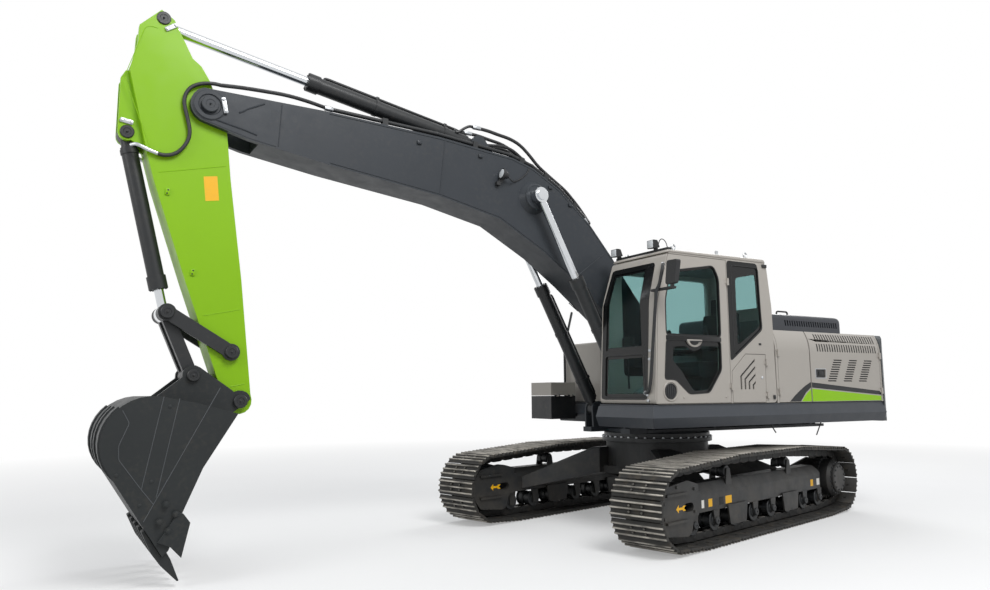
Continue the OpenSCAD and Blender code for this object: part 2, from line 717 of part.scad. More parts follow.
// Cab
cab_mounts = [for (x = [-500, 1050], y = [cab_right + 120, cab_left - 120]) [x, y]];
cab_hinge_heights = [1620, 2820];
service_hinge_heights = [1520, 1900];
service_hinge_x = -489;
module cab_frame() {
  color(warm_grey) {
    cab_shell();
    for (m = cab_mounts) translate([m[0], m[1], deck_top]) cylinder(r = 60, h = cab_floor - deck_top + 1);
    upright_hinges([door_edge - move_gap, hinge_y], cab_hinge_heights, [1, 1]) hinge_fixed(short_leaf);
    upright_hinges([service_hinge_x, hinge_y], service_hinge_heights, [1, 1]) hinge_fixed();
  }
}
module cab_shell() {
  difference() {
    side_plate(soft(cab_outline, cab_round), cab_right, cab_left);
    side_plate([
      [1210, cab_floor + 50], [cab_front_mid[0] - cab_wall, cab_front_mid[1]],
      [cab_front_top[0] - cab_wall, cab_top], [cab_rear_top[0] + cab_wall, cab_top],
      [cab_rear_mid[0] + cab_wall, cab_rear_mid[1]], [cab_rear_low[0] + cab_wall, cab_floor + 50]
    ], cab_right + cab_wall, cab_left - cab_wall);
    side_plate([for (p = door_outline) [p[0] + (p[0] > 500 ? 1 : -1) * move_gap,
                p[1] + (p[1] > 2000 ? 1 : -1) * move_gap]], cab_left - cab_wall - 1, cab_left + 1);
    side_plate(soft(quarter_window, 50), cab_left - cab_wall - 1, cab_left + 1);
    side_plate([for (p = service_outline) [p[0] + (p[0] > -300 ? 1 : -1) * move_gap,
                p[1] + (p[1] > 1600 ? 1 : -1) * move_gap]], cab_left - 40, cab_left + 1);
    end_plate(screen_outline(screen_low, screen_split - 20, 0), 1000, 1400);
    end_plate(screen_outline(screen_split + 20, screen_top, 0), 900, 1400);
    side_plate(soft(right_window, 60), cab_right - 1, cab_right + cab_wall + 1);
    block([-800, cab_right + 150, rear_window[0] - fixed_gap], [-500, cab_left - 150, rear_window[1] + fixed_gap]);
  }
}
screen_right = cab_right + 70;
// The left edge of the windscreen leans in towards the roof
function screen_left(z) = cab_left - 150 - 115 * (z - screen_low) / (screen_top - screen_low);
function screen_outline(z0, z1, inset) = soft([
  [screen_right + inset, z0 + inset], [screen_left(z0) - inset, z0 + inset], [screen_left(z1) - inset, z1 - inset],
  [screen_right + inset, z1 - inset]
], 45);
screen_low = 1500;
screen_split = 2000;
screen_top = 2950;
roof_rise = 15;
function roof_z(x) = cab_top + roof_rise * (cab_front_top[0] - 20 - x) / (cab_front_top[0] - 50 - cab_rear_top[0]);
module cab_roof() {
  color(warm_grey) side_plate([
    [cab_front_top[0] + 6, cab_front_top[1]], [cab_front_top[0] - 20, cab_top],
    [cab_rear_top[0] + 30, cab_top + roof_rise], [cab_rear_top[0] - 2, cab_rear_top[1]]
  ], cab_right - 2, cab_left + 2);
}
glass = 8;
module front_pane(z0, z1) {
  heights = [z0, each [for (z = [cab_front_mid[1]]) if (z > z0 && z < z1) z], z1];
  intersection() {
    side_plate([
      for (z = heights) [front_x(z) - 12, z],
      for (k = [len(heights) - 1:-1:0]) [front_x(heights[k]) - 12 - glass, heights[k]]
    ], screen_right, cab_left);
    end_plate(screen_outline(z0, z1, fixed_gap), 900, 1400);
  }
}
module pane(outline, y0, y1) {
  translate([0, y1, 0]) rotate([90, 0, 0]) linear_extrude(y1 - y0) offset(delta = -fixed_gap) polygon(outline);
}
function rear_x(z) = cab_rear_mid[0] + (cab_rear_top[0] - cab_rear_mid[0]) * (z - cab_rear_mid[1])
  / (cab_rear_top[1] - cab_rear_mid[1]);
right_window = [[-480, 1750], [950, 1750], [950, 2960], [-480, 2960]];
rear_window = [cab_rear_mid[1] + 20, 2980];
module cab_glass() {
  color(tinted) {
    front_pane(screen_low, screen_split - 20);
    front_pane(screen_split + 20, screen_top);
    pane(soft(quarter_window, 50), cab_left - 20, cab_left - 12);
    pane(soft(right_window, 60), cab_right + 12, cab_right + 12 + glass);
    side_plate([
      for (z = rear_window) [rear_x(z) + 12, z],
      for (k = [1, 0]) [rear_x(rear_window[k]) + 12 + glass, rear_window[k]]
    ], cab_right + 150 + fixed_gap, cab_left - 150 - fixed_gap);
  }
}
vent_center = [1046, 1568];
vent_radius = 84;
module cab_door() {
  color(warm_grey) {
    difference() {
      side_plate(door_outline, cab_left - cab_wall, cab_left);
      side_plate(soft(door_window_low, 45), cab_left - cab_wall - 1, cab_left + 1);
      side_plate(soft(door_window_high, 60), cab_left - cab_wall - 1, cab_left + 1);
      for (k = [-2:2]) {
        half = sqrt(pow(vent_radius, 2) - pow(30 * k, 2)) - 9;
        side_plate(slot_outline(vent_center + [0, 30 * k], half - 9, 9), cab_left - cab_wall - 1, cab_left + 1);
      }
    }
    upright_hinges([door_edge - move_gap, hinge_y], cab_hinge_heights, [1, 1]) hinge_moving();
  }
}
door_window_low = [[1130, 1690], [1090, 2130], [245, 2130], [250, 1800], [455, 1545], [770, 1530], [970, 1690]];
door_window_high = [[1088, 2165], [1085, 2560], [1000, 2890], [320, 3000], [235, 2850], [240, 2165]];
module door_glass() {
  color(tinted) {
    pane(soft(door_window_low, 45), cab_left - 24, cab_left - 16);
    pane(soft(door_window_high, 60), cab_left - 24, cab_left - 16);
  }
}
// Pressed chevrons in the service door, one inside the other
chevron_corner = [-45, 1740];
chevron_low = 1586;
chevron_rear = -303;
chevron_pitch = 67;
module chevron(k) {
  corner = chevron_corner - [chevron_pitch, chevron_pitch / 2] * k;
  rise = (corner[0] - chevron_rear) * 0.79;
  side_plate([
    [chevron_rear, corner[1] + rise], corner, [corner[0], chevron_low], [corner[0] - 26, chevron_low],
    [corner[0] - 26, corner[1] - 12], [chevron_rear, corner[1] + rise - 33]
  ], cab_left - 14, cab_left + 1);
}
module service_door() {
  color(warm_grey) {
    difference() {
      side_plate(service_outline, cab_left - 34, cab_left);
      for (k = [0:3]) chevron(k);
    }
    upright_hinges([service_hinge_x, hinge_y], service_hinge_heights, [1, 1]) hinge_moving();
  }
}
cab_mid = (cab_left + cab_right) / 2;
module cab_seat() {
  color(soot) {
    side_plate([[-120, cab_floor + 50], [320, cab_floor + 50], [250, 1770], [-60, 1770]], cab_mid - 170, cab_mid + 170);
    side_plate(soft([[-200, 1700], [380, 1735], [390, 1850], [-200, 1850]], 30), cab_mid - 240, cab_mid + 240);
    side_plate(soft([[-330, 1760], [-130, 1760], [-210, 2500], [-330, 2500]], 30), cab_mid - 230, cab_mid + 230);
    side_plate(soft([[-310, 2420], [-235, 2420], [-245, 2690], [-310, 2690]], 20), cab_mid - 130, cab_mid + 130);
  }
}
module cab_console() {
  color(slate) {
    side_plate(soft([
      [-100, cab_floor + 50], [430, cab_floor + 50], [520, 1900], [470, 1990], [-100, 2000]
    ], 25), cab_right + 75, cab_right + 200);
    side_plate(soft([
      [800, cab_floor + 50], [1010, cab_floor + 50], [980, 1560], [860, 1620], [800, 1600]
    ], 20), cab_mid - 220, cab_mid + 220);
  }
}
mirror_low = 2690;
module mirror_body() {
  color(soot) {
    side_plate([
      [front_x(2640) + fixed_gap, 2640], [1235, 2640], [1235, 2668], [front_x(2668) + fixed_gap, 2668]
    ], cab_left - 60, cab_left + 280);
    block([1205, cab_left + 255, 2641], [1235, cab_left + 280, mirror_low + 10]);
    end_plate(soft([
      [cab_left + 182, mirror_low], [cab_left + 327, mirror_low], [cab_left + 375, mirror_low + 250],
      [cab_left + 215, mirror_low + 255]
    ], 28), 1190, 1250);
  }
}
lamp_places = [cab_right + 45, cab_right + 680];
lamp_half = 52;
module roof_lamps() {
  color(soot) {
    side_plate([
      [930, roof_z(930) + fixed_gap], [985, roof_z(985) + fixed_gap], [985, cab_top + 32], [930, cab_top + 32]
    ], cab_right + 10, cab_left - 30);
    for (y = lamp_places) {
      side_plate(soft([[950, cab_top + 55], [1050, cab_top + 40], [1050, cab_top + 138], [985, cab_top + 138]], 12),
                 y - lamp_half, y + lamp_half);
      block([945, y - 14, cab_top + 20], [990, y + 14, cab_top + 70]);
    }
  }
}

// Boom: a closed box with a fork at its tip
boom_top_line = [[849, 3218], [1183, 3600], [1626, 3981], [2000, 4190], [2293, 4275], [3243, 4364], [4497, 4413],
                 [5464, 4418]];
boom_low_line = [[5281, 3984], [4485, 3857], [3241, 3698], [2476, 3528], [1860, 3190], [1414, 2877]];
boom_outline = concat(
  arc(boom_foot, 140, 315, 145, 10), boom_top_line,
  arc(arm_pin, 170, 70, -80, 8), boom_low_line
);
boom_skin = 26;
fork_start = 5190;
module boom() {
  color(slate) difference() {
    union() {
      difference() {
        side_plate(boom_outline, -boom_half, boom_half);
        translate([0, boom_half - boom_skin, 0]) rotate([90, 0, 0])
          linear_extrude(boom_width - 2 * boom_skin) difference() {
            offset(delta = -boom_skin) polygon(boom_outline);
            translate([fork_start - boom_skin, 3000]) square([2000, 3000]);
            translate([-500, 1500]) square([900, 1150]);
          }
        side_plate([[fork_start, 3000], [7000, 3000], [7000, 6000], [fork_start, 6000]], -fork_inner, fork_inner);
      }
      both_sides() {
        pin(boom_foot, 126, boom_half - 5, frame_plate_inner - move_gap);
        translate([boom_cyl_eye[0], boom_cyl_y - boom_eye_half - move_gap, boom_cyl_eye[1]]) rotate([90, 0, 0])
          cylinder(r1 = 125, r2 = 200, h = boom_cyl_y - boom_eye_half - move_gap - boom_half + 5);
        side_plate(tip_plate, boom_half - 5, boom_half + 4);
        pin(arm_pin, 150, fork_inner + 5, fork_outer);
        side_plate(foot_ear, 76, 112);
      }
      pin(arm_pin, pin_radius, -fork_outer - 25, fork_outer + 25);
      pin(arm_cyl_foot, 45, -113, 113);
    }
    pin(boom_foot, 50 + pin_fit, -400, 400);
  }
}
tip_plate = concat([[5110, 4400], [5440, 4406]], arc(arm_pin, 158, 66, -76, 8), [[5290, 4000], [5030, 3958]]);
foot_ear = concat([[2450, 4280]], arc(arm_cyl_foot, 100, 160, -20, 8), [[2790, 4310]]);
line_radius = 22;
line_height = 60;
function line_bearing(k) = bearing(boom_top_line[k - 1], boom_top_line[k + 1]);
function line_point(k) = boom_top_line[k] + line_height * [-sin(line_bearing(k)), cos(line_bearing(k))];
line_first = 1;
line_last = len(boom_top_line) - 2;
module boom_lines() {
  color(soot) for (y = [-150, 150], k = [line_first:line_last - 1]) {
    from = line_point(k);
    to = line_point(k + 1);
    at_pin(from, bearing(from, to)) translate([0, y, 0]) {
      bar_x(line_radius, 0, norm(to - from));
      sphere(line_radius + 3);
    }
    low = boom_top_line[k];
    high = boom_top_line[k + 1];
    at_pin(low, bearing(low, high)) translate([norm(high - low) / 2, y, 0])
      block([-30, -32, fixed_gap], [30, 32, line_height + line_radius + 8]);
  }
}
lamp_at = [2440, 4030];
lamp_rim = 62;
lamp_clear = 8;
module boom_lamp() {
  color(soot) {
    translate([lamp_at[0], boom_half + lamp_rim + lamp_clear, lamp_at[1]]) rotate([0, 78, 0]) {
      cylinder(r1 = 34, r2 = lamp_rim - 6, h = 60, center = true);
      translate([0, 0, 29]) cylinder(r = lamp_rim, h = 26);
    }
    side_plate([
      lamp_at + [-26, -20], lamp_at + [60, -110], lamp_at + [92, -90], lamp_at + [20, 16]
    ], boom_half + 34, boom_half + 46);
    block([lamp_at[0] + 50, boom_half + fixed_gap, lamp_at[1] - 118], [lamp_at[0] + 100, boom_half + 46, lamp_at[1] - 80]);
  }
}

// Hydraulic cylinders, built along local +X from the foot eye
module barrel(length, radius, eye_radius, eye_half, pin_r, rod_r) {
  shell = radius - barrel_wall;
  difference() {
    union() {
      pin([0, 0], eye_radius, -eye_half, eye_half);
      bar_x(eye_half, eye_radius * 0.6, eye_radius + barrel_neck);
      bar_x(radius, eye_radius + barrel_neck - 1, length - 120);
      bar_x(radius + 12, length - 121, length);
    }
    pin([0, 0], pin_r + pin_fit, -eye_half - 1, eye_half + 1);
    bar_x(shell, eye_radius + barrel_neck + barrel_floor, length - gland);
    bar_x(rod_r + pin_fit, length - gland - 1, length + 1);
  }
}
module rod(eye_at, start, radius, eye_radius, eye_half, barrel_radius) {
  bar_x(radius, start, eye_at - eye_radius * 0.6);
  bar_x(barrel_radius - barrel_wall - pin_fit, start - piston, start + 1);
  pin([eye_at, 0], eye_radius, -eye_half, eye_half);
}
barrel_wall = 15;
barrel_floor = 12;
gland = 60;
piston = 40;
barrel_neck = 42;
boom_cyl_length = norm(boom_cyl_eye - boom_cyl_foot);
arm_cyl_length = norm(arm_cyl_eye - arm_cyl_foot);
bucket_cyl_length = norm(link_pin - bucket_cyl_foot);
boom_barrel_length = 1750;
arm_barrel_length = 2030;
bucket_barrel_length = 1440;
boom_cyl_radius = 76;
arm_cyl_radius = 84;
bucket_cyl_radius = 72;
module boom_cylinder(side) {
  at_pin(boom_cyl_foot, bearing(boom_cyl_foot, boom_cyl_eye)) translate([0, side * boom_cyl_y, 0]) children();
}
module boom_barrel(side) {
  color(soot) boom_cylinder(side) barrel(boom_barrel_length, boom_cyl_radius, 88, boom_eye_half, 40, 45);
}
module boom_rod(side) {
  color(steel) boom_cylinder(side) {
    rod(boom_cyl_length, boom_barrel_length - 635, 45, 90, boom_eye_half, boom_cyl_radius);
    pin([boom_cyl_length, 0], 60, side > 0 ? 0 : -68, side > 0 ? 68 : 0);
  }
}
module arm_barrel() {
  color(soot) at_pin(arm_cyl_foot, bearing(arm_cyl_foot, arm_cyl_eye))
    barrel(arm_barrel_length, arm_cyl_radius, 88, 70, 45, 50);
}
module arm_rod() {
  color(steel) at_pin(arm_cyl_foot, bearing(arm_cyl_foot, arm_cyl_eye))
    rod(arm_cyl_length, arm_barrel_length - 600, 50, 90, 68, arm_cyl_radius);
}
module bucket_barrel() {
  color(soot) at_pin(bucket_cyl_foot, bearing(bucket_cyl_foot, link_pin))
    barrel(bucket_barrel_length, bucket_cyl_radius, 78, 60, 42, 42);
}
module bucket_rod() {
  color(steel) at_pin(bucket_cyl_foot, bearing(bucket_cyl_foot, link_pin))
    rod(bucket_cyl_length, bucket_barrel_length - 1170, 42, 78, 60, bucket_cyl_radius);
}

// Arm, in a local frame with +X from the boom pin towards the bucket pin
arm_length = norm(bucket_pin - arm_pin);
arm_cyl_local = [-828, 315];
tail_fork = -610;
arm_outline = [
  [-822, 223], [-464, 96], [-393, 25], [-252, -40], [188, -149], [708, -135], [1665, -138],
  [2728, -113], each arc([arm_length, 0], 118, -90, 90, 8), [2655, 147], [1634, 361], [712, 539],
  [462, 574], [-326, 650], [-582, 559], [-747, 531], [-912, 326]
];
module arm_space() {
  at_pin(arm_pin, arm_angle) children();
}
function to_arm(p) = let (d = p - arm_pin)
  [d[0] * cos(arm_angle) + d[1] * sin(arm_angle), -d[0] * sin(arm_angle) + d[1] * cos(arm_angle)];
arm_skin = 22;
cylinder_ear = concat([[-330, 600]], [[-326, 676], [-258, 724]], arc(to_arm(bucket_cyl_foot), 78, 100, -20, 5),
                      [[420, 560]]);
module arm() {
  color(lime) arm_space() difference() {
    union() {
      difference() {
        side_plate(arm_outline, -arm_half, arm_half);
        translate([0, arm_half - arm_skin, 0]) rotate([90, 0, 0])
          linear_extrude(arm_width - 2 * arm_skin) difference() {
            offset(delta = -arm_skin) polygon(arm_outline);
            circle(230);
            translate([-2000, -2000]) square([2000 + tail_fork + arm_skin, 4000]);
            translate(to_arm(rocker_pin)) circle(100);
            translate([arm_length - 190, -300]) square(600);
          }
        side_plate([[-2000, -500], [tail_fork, -500], [tail_fork, 1500], [-2000, 1500]], -80, 80);
      }
      both_sides() side_plate(cylinder_ear, 66, 106);
      pin(to_arm(bucket_cyl_foot), 42, -108, 108);
      pin(to_arm(rocker_pin), 40, -arm_half - 62, arm_half + 62);
    }
    pin([0, 0], pin_radius + pin_fit, -300, 300);
    pin([arm_length, 0], pin_radius + pin_fit, -300, 300);
  }
}

// Bucket linkage
link_plate = 40;
link_bore = 40;
module rocker_links() {
  color(slate) at_pin(rocker_pin, bearing(rocker_pin, link_pin)) both_sides() difference() {
    reach = norm(link_pin - rocker_pin);
    y0 = arm_half + move_gap;
    union() {
      pin([0, 0], 78, y0, y0 + link_plate);
      pin([reach, 0], 78, y0, y0 + link_plate);
      block([0, y0, -62], [reach, y0 + link_plate, 62]);
      pin([reach, 0], 48, y0, y0 + link_plate + 20);
    }
    pin([0, 0], link_bore + pin_fit, y0 - 1, y0 + link_plate + 1);
  }
}
module bucket_link() {
  color(slate) at_pin(bucket_link_pin, bearing(bucket_link_pin, link_pin)) difference() {
    reach = norm(link_pin - bucket_link_pin);
    union() {
      pin([0, 0], 78, -arm_half, arm_half);
      both_sides() {
        pin([reach, 0], 76, 72, 150);
        block([0, 72, -55], [reach, 150, 55]);
      }
    }
    pin([0, 0], link_bore + pin_fit, -300, 300);
  }
}

// Bucket, in a local frame with +X from its pin towards the tooth tips
module bucket_space() {
  at_pin(bucket_pin, bucket_angle) children();
}
function to_bucket(p) = let (d = p - bucket_pin)
  [d[0] * cos(bucket_angle) + d[1] * sin(bucket_angle), -d[0] * sin(bucket_angle) + d[1] * cos(bucket_angle)];
bowl_center = [565, 632];
bowl_radius = 382;
lip = [1390, 218];
bucket_outline = concat(
  [[130, 60], [642, 172], [1026, 196], [1330, 190], lip], arc(bowl_center, bowl_radius, 36, 168, 12), [[150, 400]]
);
bucket_skin = 30;
bowl_end = bowl_center + bowl_radius * [cos(36), sin(36)];
floor_way = (lip - bowl_end) / norm(lip - bowl_end);
function floor_point(back, out) = lip - back * floor_way + out * [-floor_way[1], floor_way[0]];
bowl_outline = concat(
  [[160, -100], [700, 60], [1500, 60], floor_point(0, -bucket_skin)],
  arc(bowl_center, bowl_radius - bucket_skin, 36, 168, 12), [[182, 400]]
);
bucket_ear = concat(
  arc([0, 0], 100, 240, 130, 5), arc(to_bucket(bucket_link_pin), 92, 200, 60, 5),
  [[190, 690], [230, 300], [170, 60]]
);
wear_strip = concat(arc(bowl_center, bowl_radius + 14, 24, 120, 10), arc(bowl_center, bowl_radius - 12, 120, 24, 10));
module bucket() {
  color(slate) bucket_space() {
    difference() {
      union() {
        side_plate(bucket_outline, -bucket_half, bucket_half);
        both_sides() side_plate(wear_strip, bucket_half - 130, bucket_half - 10);
        both_sides() side_plate(wear_strip, 90, 190);
        both_sides() side_plate(bucket_ear, arm_half + move_gap, arm_half + move_gap + 45);
      }
      side_plate(bowl_outline, -bucket_half + 26, bucket_half - 26);
    }
    pin([0, 0], pin_radius, -arm_half - 75, arm_half + 75);
    pin(to_bucket(bucket_link_pin), link_bore, -arm_half - 75, arm_half + 75);
  }
}
tooth_width = 95;
tooth_outline = [
  floor_point(260, fixed_gap), floor_point(260, 28), floor_point(60, 52), floor_point(-60, 44),
  floor_point(-245, 4), floor_point(-250, -10), floor_point(-60, -44), floor_point(40, -48),
  floor_point(40, -bucket_skin - fixed_gap), floor_point(-fixed_gap, -bucket_skin - fixed_gap),
  floor_point(-fixed_gap, fixed_gap)
];
module bucket_teeth() {
  color(soot) bucket_space()
    for (k = [0:tooth_count - 1])
      translate([0, (k - (tooth_count - 1) / 2) * (bucket_width - 160) / (tooth_count - 1), 0])
        side_plate(tooth_outline, -tooth_width / 2, tooth_width / 2);
}
cutter_outline = [[1026, 230], [1026, 190], [1080, 112], [1360, 78], [1300, 190], [1290, 300]];
module side_cutters() {
  color(soot) bucket_space()
    both_sides() side_plate(cutter_outline, bucket_half, bucket_half + 30);
}

car_body();
slew_ring();
track_frame(1);  // track_frame_left
track_frame(-1);  // track_frame_right
track_loop(1);  // track_left
track_loop(-1);  // track_right
rollers(1);  // rollers_left
rollers(-1);  // rollers_right
sprocket(1);  // sprocket_left
sprocket(-1);  // sprocket_right
deck();
center_frame();
counterweight();
engine();
housing_frame();
tanks();
tool_box();
handrails();
cab_frame();
cab_roof();
cab_glass();
cab_seat();
cab_console();
mirror_body();  // mirror
roof_lamps();
cab_door();
door_glass();
service_door();
left_front_door();
left_rear_door();
pump_door();
hood();
tool_box_lid();
boom();
boom_lines();
boom_lamp();
boom_barrel(1);  // boom_barrel_left
boom_barrel(-1);  // boom_barrel_right
boom_rod(1);  // boom_rod_left
boom_rod(-1);  // boom_rod_right
arm_barrel();
arm_rod();
arm();
bucket_barrel();
bucket_rod();
rocker_links();
bucket_link();
bucket();
bucket_teeth();
side_cutters();
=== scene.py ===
"""Looks of a crawler excavator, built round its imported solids.

Metres, in the solids' own frame: +X along the boom, +Y to the operator's left, +Z up,
with the origin on the ground under the slewing axis.
"""

from __future__ import annotations

import json
import logging
import math
from collections.abc import Callable, Iterable, Sequence
from dataclasses import dataclass, field
from enum import Enum
from functools import lru_cache, partial

import bpy
from mathutils import Matrix, Vector
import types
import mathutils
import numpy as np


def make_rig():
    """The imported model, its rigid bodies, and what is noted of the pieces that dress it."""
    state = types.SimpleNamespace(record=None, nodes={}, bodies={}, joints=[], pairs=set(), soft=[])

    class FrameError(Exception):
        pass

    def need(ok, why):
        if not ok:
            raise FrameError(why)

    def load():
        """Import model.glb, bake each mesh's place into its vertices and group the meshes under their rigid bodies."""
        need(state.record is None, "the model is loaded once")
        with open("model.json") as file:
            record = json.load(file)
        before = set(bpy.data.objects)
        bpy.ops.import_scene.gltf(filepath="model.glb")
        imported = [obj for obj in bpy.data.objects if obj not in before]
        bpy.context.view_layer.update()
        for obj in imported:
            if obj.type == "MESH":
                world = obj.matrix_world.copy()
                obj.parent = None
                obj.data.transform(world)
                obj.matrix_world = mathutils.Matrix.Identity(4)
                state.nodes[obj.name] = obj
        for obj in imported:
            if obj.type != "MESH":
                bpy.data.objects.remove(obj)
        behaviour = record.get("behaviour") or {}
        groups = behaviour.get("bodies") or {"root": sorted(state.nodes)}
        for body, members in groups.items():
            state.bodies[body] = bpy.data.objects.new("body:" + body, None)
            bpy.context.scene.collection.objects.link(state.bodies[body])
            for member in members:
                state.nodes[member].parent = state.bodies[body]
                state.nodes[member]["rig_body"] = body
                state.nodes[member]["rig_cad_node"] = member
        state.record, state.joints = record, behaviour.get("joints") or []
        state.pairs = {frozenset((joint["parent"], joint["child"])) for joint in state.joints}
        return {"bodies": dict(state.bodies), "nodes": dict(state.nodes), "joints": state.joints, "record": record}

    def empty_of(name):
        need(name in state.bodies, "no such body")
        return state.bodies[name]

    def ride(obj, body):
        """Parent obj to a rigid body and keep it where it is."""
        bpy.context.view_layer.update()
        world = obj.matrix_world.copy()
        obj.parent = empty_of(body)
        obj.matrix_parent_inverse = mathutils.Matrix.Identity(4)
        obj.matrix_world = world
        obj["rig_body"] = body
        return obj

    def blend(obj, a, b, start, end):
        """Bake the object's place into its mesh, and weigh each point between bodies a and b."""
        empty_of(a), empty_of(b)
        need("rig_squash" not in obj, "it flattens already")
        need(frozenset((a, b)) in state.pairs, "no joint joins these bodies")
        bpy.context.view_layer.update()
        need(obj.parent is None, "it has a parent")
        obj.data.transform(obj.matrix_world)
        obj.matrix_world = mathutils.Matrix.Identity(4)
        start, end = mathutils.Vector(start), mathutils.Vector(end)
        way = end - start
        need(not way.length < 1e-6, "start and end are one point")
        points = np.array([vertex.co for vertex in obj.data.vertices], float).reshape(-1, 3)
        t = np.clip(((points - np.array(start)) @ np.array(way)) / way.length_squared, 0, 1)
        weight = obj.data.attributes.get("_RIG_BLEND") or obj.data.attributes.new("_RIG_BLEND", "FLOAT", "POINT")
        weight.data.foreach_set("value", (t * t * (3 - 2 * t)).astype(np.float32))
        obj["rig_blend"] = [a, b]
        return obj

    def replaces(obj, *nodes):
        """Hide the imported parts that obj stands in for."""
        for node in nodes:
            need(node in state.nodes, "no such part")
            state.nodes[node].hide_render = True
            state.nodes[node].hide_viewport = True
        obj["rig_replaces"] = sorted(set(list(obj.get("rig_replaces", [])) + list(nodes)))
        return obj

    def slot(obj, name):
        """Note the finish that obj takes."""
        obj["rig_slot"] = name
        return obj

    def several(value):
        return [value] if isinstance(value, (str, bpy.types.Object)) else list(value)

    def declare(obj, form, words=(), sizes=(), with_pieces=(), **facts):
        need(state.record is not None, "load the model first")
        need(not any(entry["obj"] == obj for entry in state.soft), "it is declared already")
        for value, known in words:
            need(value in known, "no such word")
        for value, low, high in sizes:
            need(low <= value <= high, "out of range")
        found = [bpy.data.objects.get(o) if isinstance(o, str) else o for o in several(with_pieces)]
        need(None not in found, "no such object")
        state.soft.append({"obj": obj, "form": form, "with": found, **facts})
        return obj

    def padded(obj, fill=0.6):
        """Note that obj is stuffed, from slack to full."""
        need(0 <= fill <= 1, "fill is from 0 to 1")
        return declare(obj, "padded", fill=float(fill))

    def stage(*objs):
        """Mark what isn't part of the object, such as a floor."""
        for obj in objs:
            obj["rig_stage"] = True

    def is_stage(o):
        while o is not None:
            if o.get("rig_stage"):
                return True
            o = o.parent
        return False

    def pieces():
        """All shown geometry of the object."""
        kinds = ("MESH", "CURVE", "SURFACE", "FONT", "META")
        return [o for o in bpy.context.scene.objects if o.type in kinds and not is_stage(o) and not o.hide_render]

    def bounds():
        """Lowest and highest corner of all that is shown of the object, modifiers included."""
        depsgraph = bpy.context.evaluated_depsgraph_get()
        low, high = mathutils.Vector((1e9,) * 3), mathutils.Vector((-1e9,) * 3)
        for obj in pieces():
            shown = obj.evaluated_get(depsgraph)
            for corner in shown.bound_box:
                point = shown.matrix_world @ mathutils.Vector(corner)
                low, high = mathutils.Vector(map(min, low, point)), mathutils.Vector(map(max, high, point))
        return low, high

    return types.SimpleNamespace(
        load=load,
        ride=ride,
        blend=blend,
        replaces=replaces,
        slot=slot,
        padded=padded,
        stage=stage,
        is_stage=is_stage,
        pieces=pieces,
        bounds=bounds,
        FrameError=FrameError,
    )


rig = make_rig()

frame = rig.load()
CAD_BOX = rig.bounds()
LOG = logging.getLogger("excavator")
Point = Sequence[float]
FORWARD, LEFT, UP = (1, 0, 0), (0, 1, 0), (0, 0, 1)
ACROSS = Matrix.Scale(-1, 4, LEFT)
SIDES = ((1, "left"), (-1, "right"))


def tint(code: str) -> tuple[float, float, float, float]:
    """Turns a screen colour into the linear one that a shader takes.

    Args:
        code: Six hexadecimal digits.

    Returns:
        Linear red, green, blue and alpha.
    """
    parts = [int(code[k : k + 2], 16) / 255 for k in (0, 2, 4)]
    linear = [c / 12.92 if c <= 0.04045 else ((c + 0.055) / 1.055) ** 2.4 for c in parts]
    return (*linear, 1.0)


# Finishes


